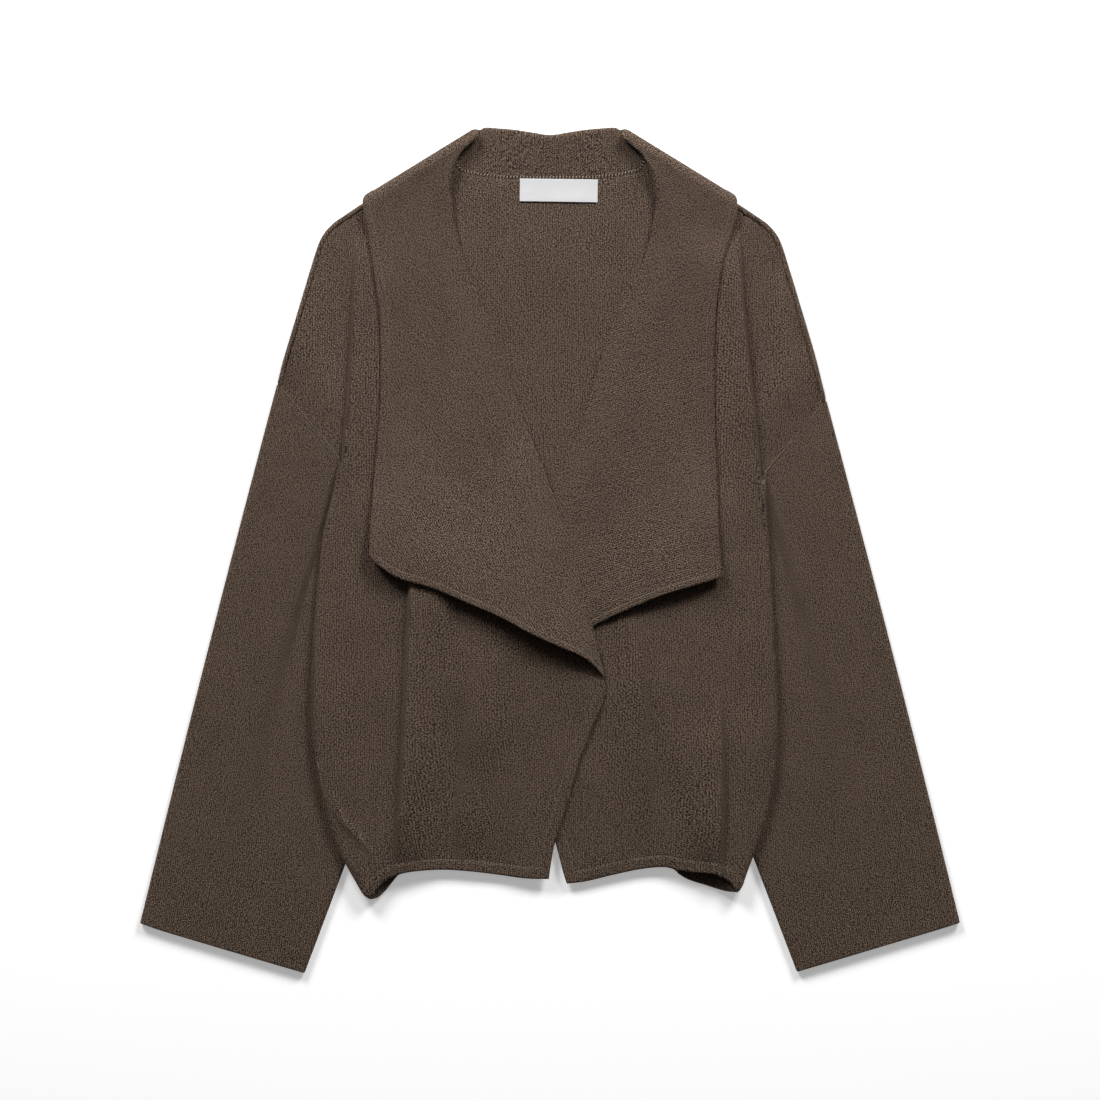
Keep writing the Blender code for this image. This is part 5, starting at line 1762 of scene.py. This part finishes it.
# ---------------------------------------------------------------- label
@dataclass
class NeckLabel:
    """The bare woven label inside the back neck.

    Attributes:
        centre: its middle in plan.
        size: its width and depth.
        tilt: how far it is turned, in radians.
        thick: how thick the ribbon is.
        lower_lift: how far its lower edge stands off.
        wave: the height of the small waves of that edge.
        wave_length: how long those are, for each radian.
        steps: distances from its edges at which it is sampled.
        columns: even columns.
        rows: even rows.
        edge_round: the radius of its rounded edge.
    """

    centre: Sequence[float] = (7.0, 287.6)
    size: Sequence[float] = (62.4, 18.4)
    tilt: float = math.radians(-0.8)
    thick: float = 0.55
    lower_lift: float = 0.5
    wave: float = 0.12
    wave_length: float = 7.0
    steps: Sequence[float] = (0.0, 0.1, 0.3, 0.8)
    columns: int = 40
    rows: int = 12
    edge_round: float = 0.3

    def marks(self, start: float, count: int) -> Array:
        """Places from a start to the same distance on the other side of 0, closer near both ends."""
        line = np.array([[(start, 0.0), (-start, 0.0)]])
        return respace(line, self.steps, self.steps, count)[0][:, 0]

    def build(self, material: bpy.types.Material, thread: bpy.types.Material) -> list[Piece]:
        """Makes the ribbon and the stitches at its ends."""
        width, depth = self.size
        across, down = np.meshgrid(self.marks(-width / 2, self.columns), self.marks(depth / 2, self.rows))
        x = self.centre[0] + across * math.cos(self.tilt) - down * math.sin(self.tilt)
        y = self.centre[1] + across * math.sin(self.tilt) + down * math.cos(self.tilt)
        base = LAY.back(Side.LEFT, np.abs(x), y) + CLOTH / 2 + SEAM_GAP + self.thick / 2
        free = smooth((depth / 2 - down) / depth)
        wave = self.wave * np.sin(across / self.wave_length + 0.6) * free
        points = np.stack([x, y + UP_SHIFT, base + self.lower_lift * free**2 + wave], axis=-1)
        inset = np.minimum(width / 2 - np.abs(across), depth / 2 - np.abs(down))
        half = self.thick / 2 * rounded(inset, self.edge_round)
        patch = Patch(points, np.stack([across, down], axis=-1), half)
        label = shell("label_ribbon", [patch], material)
        ends = [patch.on_top(slice(3, -3), column, 0.02) for column in (len(self.steps), -len(self.steps) - 1)]
        stitches = LABEL_STITCHES.sew("label_stitches", ends, thread)
        return [
            Piece(label, "label_weave", ["neck_label"], {
                "flat": (0.0624, 0.0184), "held": "laid", "rests_on": ["back_cloth"],
                "with_pieces": [stitches]}),
            Piece(stitches, "label_weave"),
        ]


# ---------------------------------------------------------------- studio
@dataclass
class Studio:
    """A plain pale floor, soft light from above the collar, and a camera straight above.

    Attributes:
        frame_m: the width of what the camera sees.
        lens: its focal length, in millimetres.
        sensor: the width of its sensor.
        focus_height: the height above the floor at which frame_m holds.
        floor_m: the floor's width.
        floor_drop_m: how far the floor lies below the garment.
        floor_tone: how pale it is.
        floor_glow: how much light it gives off.
        lamps: name, place, size and power of each lamp.
        surroundings: how bright the rest is.
    """

    frame_m: float = 0.88
    lens: float = 120.0
    sensor: float = 36.0
    focus_height: float = 5.0
    floor_m: float = 8.0
    floor_drop_m: float = 0.0002
    floor_tone: float = 0.93
    floor_glow: float = 0.34
    lamps: Sequence[tuple] = (
        ("key_left", (-1.15, 2.0, 1.4), (0.9, 0.8), 62.0),
        ("key_right", (1.15, 2.0, 1.4), (0.9, 0.8), 62.0),
        ("top", (0.0, 0.5, 2.9), (2.0, 2.0), 3.0))
    surroundings: float = 0.03

    def floor(self) -> None:
        """Lays the floor."""
        half = self.floor_m / 2
        data = bpy.data.meshes.new("floor")
        data.from_pydata([(-half, -half, 0), (half, -half, 0), (half, half, 0), (-half, half, 0)], [], [(0, 1, 2, 3)])
        made = bpy.data.objects.new("floor", data)
        made.location = (0.0, 0.0, -self.floor_drop_m)
        bpy.context.scene.collection.objects.link(made)
        graph = Graph("floor")
        data.materials.append(graph.finish(
            Base_Color=shaded(WHITE, self.floor_tone), Roughness=0.9, Specular_IOR_Level=0.1,
            Emission_Color=WHITE, Emission_Strength=self.floor_glow))

    def light(self, name: str, place: Sequence[float], size: Sequence[float], power: float) -> None:
        """Hangs a soft lamp that points at the middle of the garment.

        Args:
            name: its name.
            place: where it hangs, in metres.
            size: its width and depth, in metres.
            power: its power, in watts.
        """
        data = bpy.data.lights.new(name, "AREA")
        data.shape = "RECTANGLE"
        data.size, data.size_y = size
        data.energy = power
        made = bpy.data.objects.new(name, data)
        made.location = place
        made.rotation_euler = (-Vector(place)).to_track_quat("-Z", "Y").to_euler()
        bpy.context.scene.collection.objects.link(made)

    def build(self) -> None:
        """Sets up floor, lamps, surroundings and camera."""
        self.floor()
        for lamp in self.lamps:
            self.light(*lamp)
        world = bpy.data.worlds.new("studio")
        bpy.context.scene.world = world
        world.use_nodes = True
        background = world.node_tree.nodes["Background"].inputs
        background["Color"].default_value = WHITE
        background["Strength"].default_value = self.surroundings
        data = bpy.data.cameras.new("above")
        data.lens, data.sensor_width = self.lens, self.sensor
        camera = bpy.data.objects.new("above", data)
        height = self.frame_m * self.lens / self.sensor + self.focus_height * MM
        camera.location = (0.0, UP_SHIFT * MM, height)
        bpy.context.scene.collection.objects.link(camera)
        bpy.context.scene.camera = camera
        bpy.context.scene.view_settings.view_transform = "Standard"


def main() -> None:
    """Builds the garment piece by piece, then the studio."""
    logging.basicConfig(level=logging.INFO, format="%(name)s: %(message)s")
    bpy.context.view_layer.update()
    body, inside = BODY_KNIT.material(), INSIDE_KNIT.material()
    collar, sleeve = COLLAR_KNIT.material(), SLEEVE_KNIT.material()
    edge_thread, seam_thread = EDGE_THREAD.material(), SEAM_THREAD.material()
    armhole_thread = ARMHOLE_THREAD.material()
    pieces = Back().build(inside, edge_thread)
    for side in Side:
        pieces += Sleeve(side).build(sleeve)
        pieces += Front(side).build(body, edge_thread, armhole_thread)
    pieces += ShawlCollar().build(collar, edge_thread, seam_thread)
    pieces += NeckLabel().build(RIBBON.material(), LABEL_THREAD.material())
    Studio().build()
    for piece in pieces:
        piece.declare()
        log.info("%s: %d faces", piece.obj.name, len(piece.obj.data.polygons))
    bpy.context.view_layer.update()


if __name__ == "__main__":
    main()
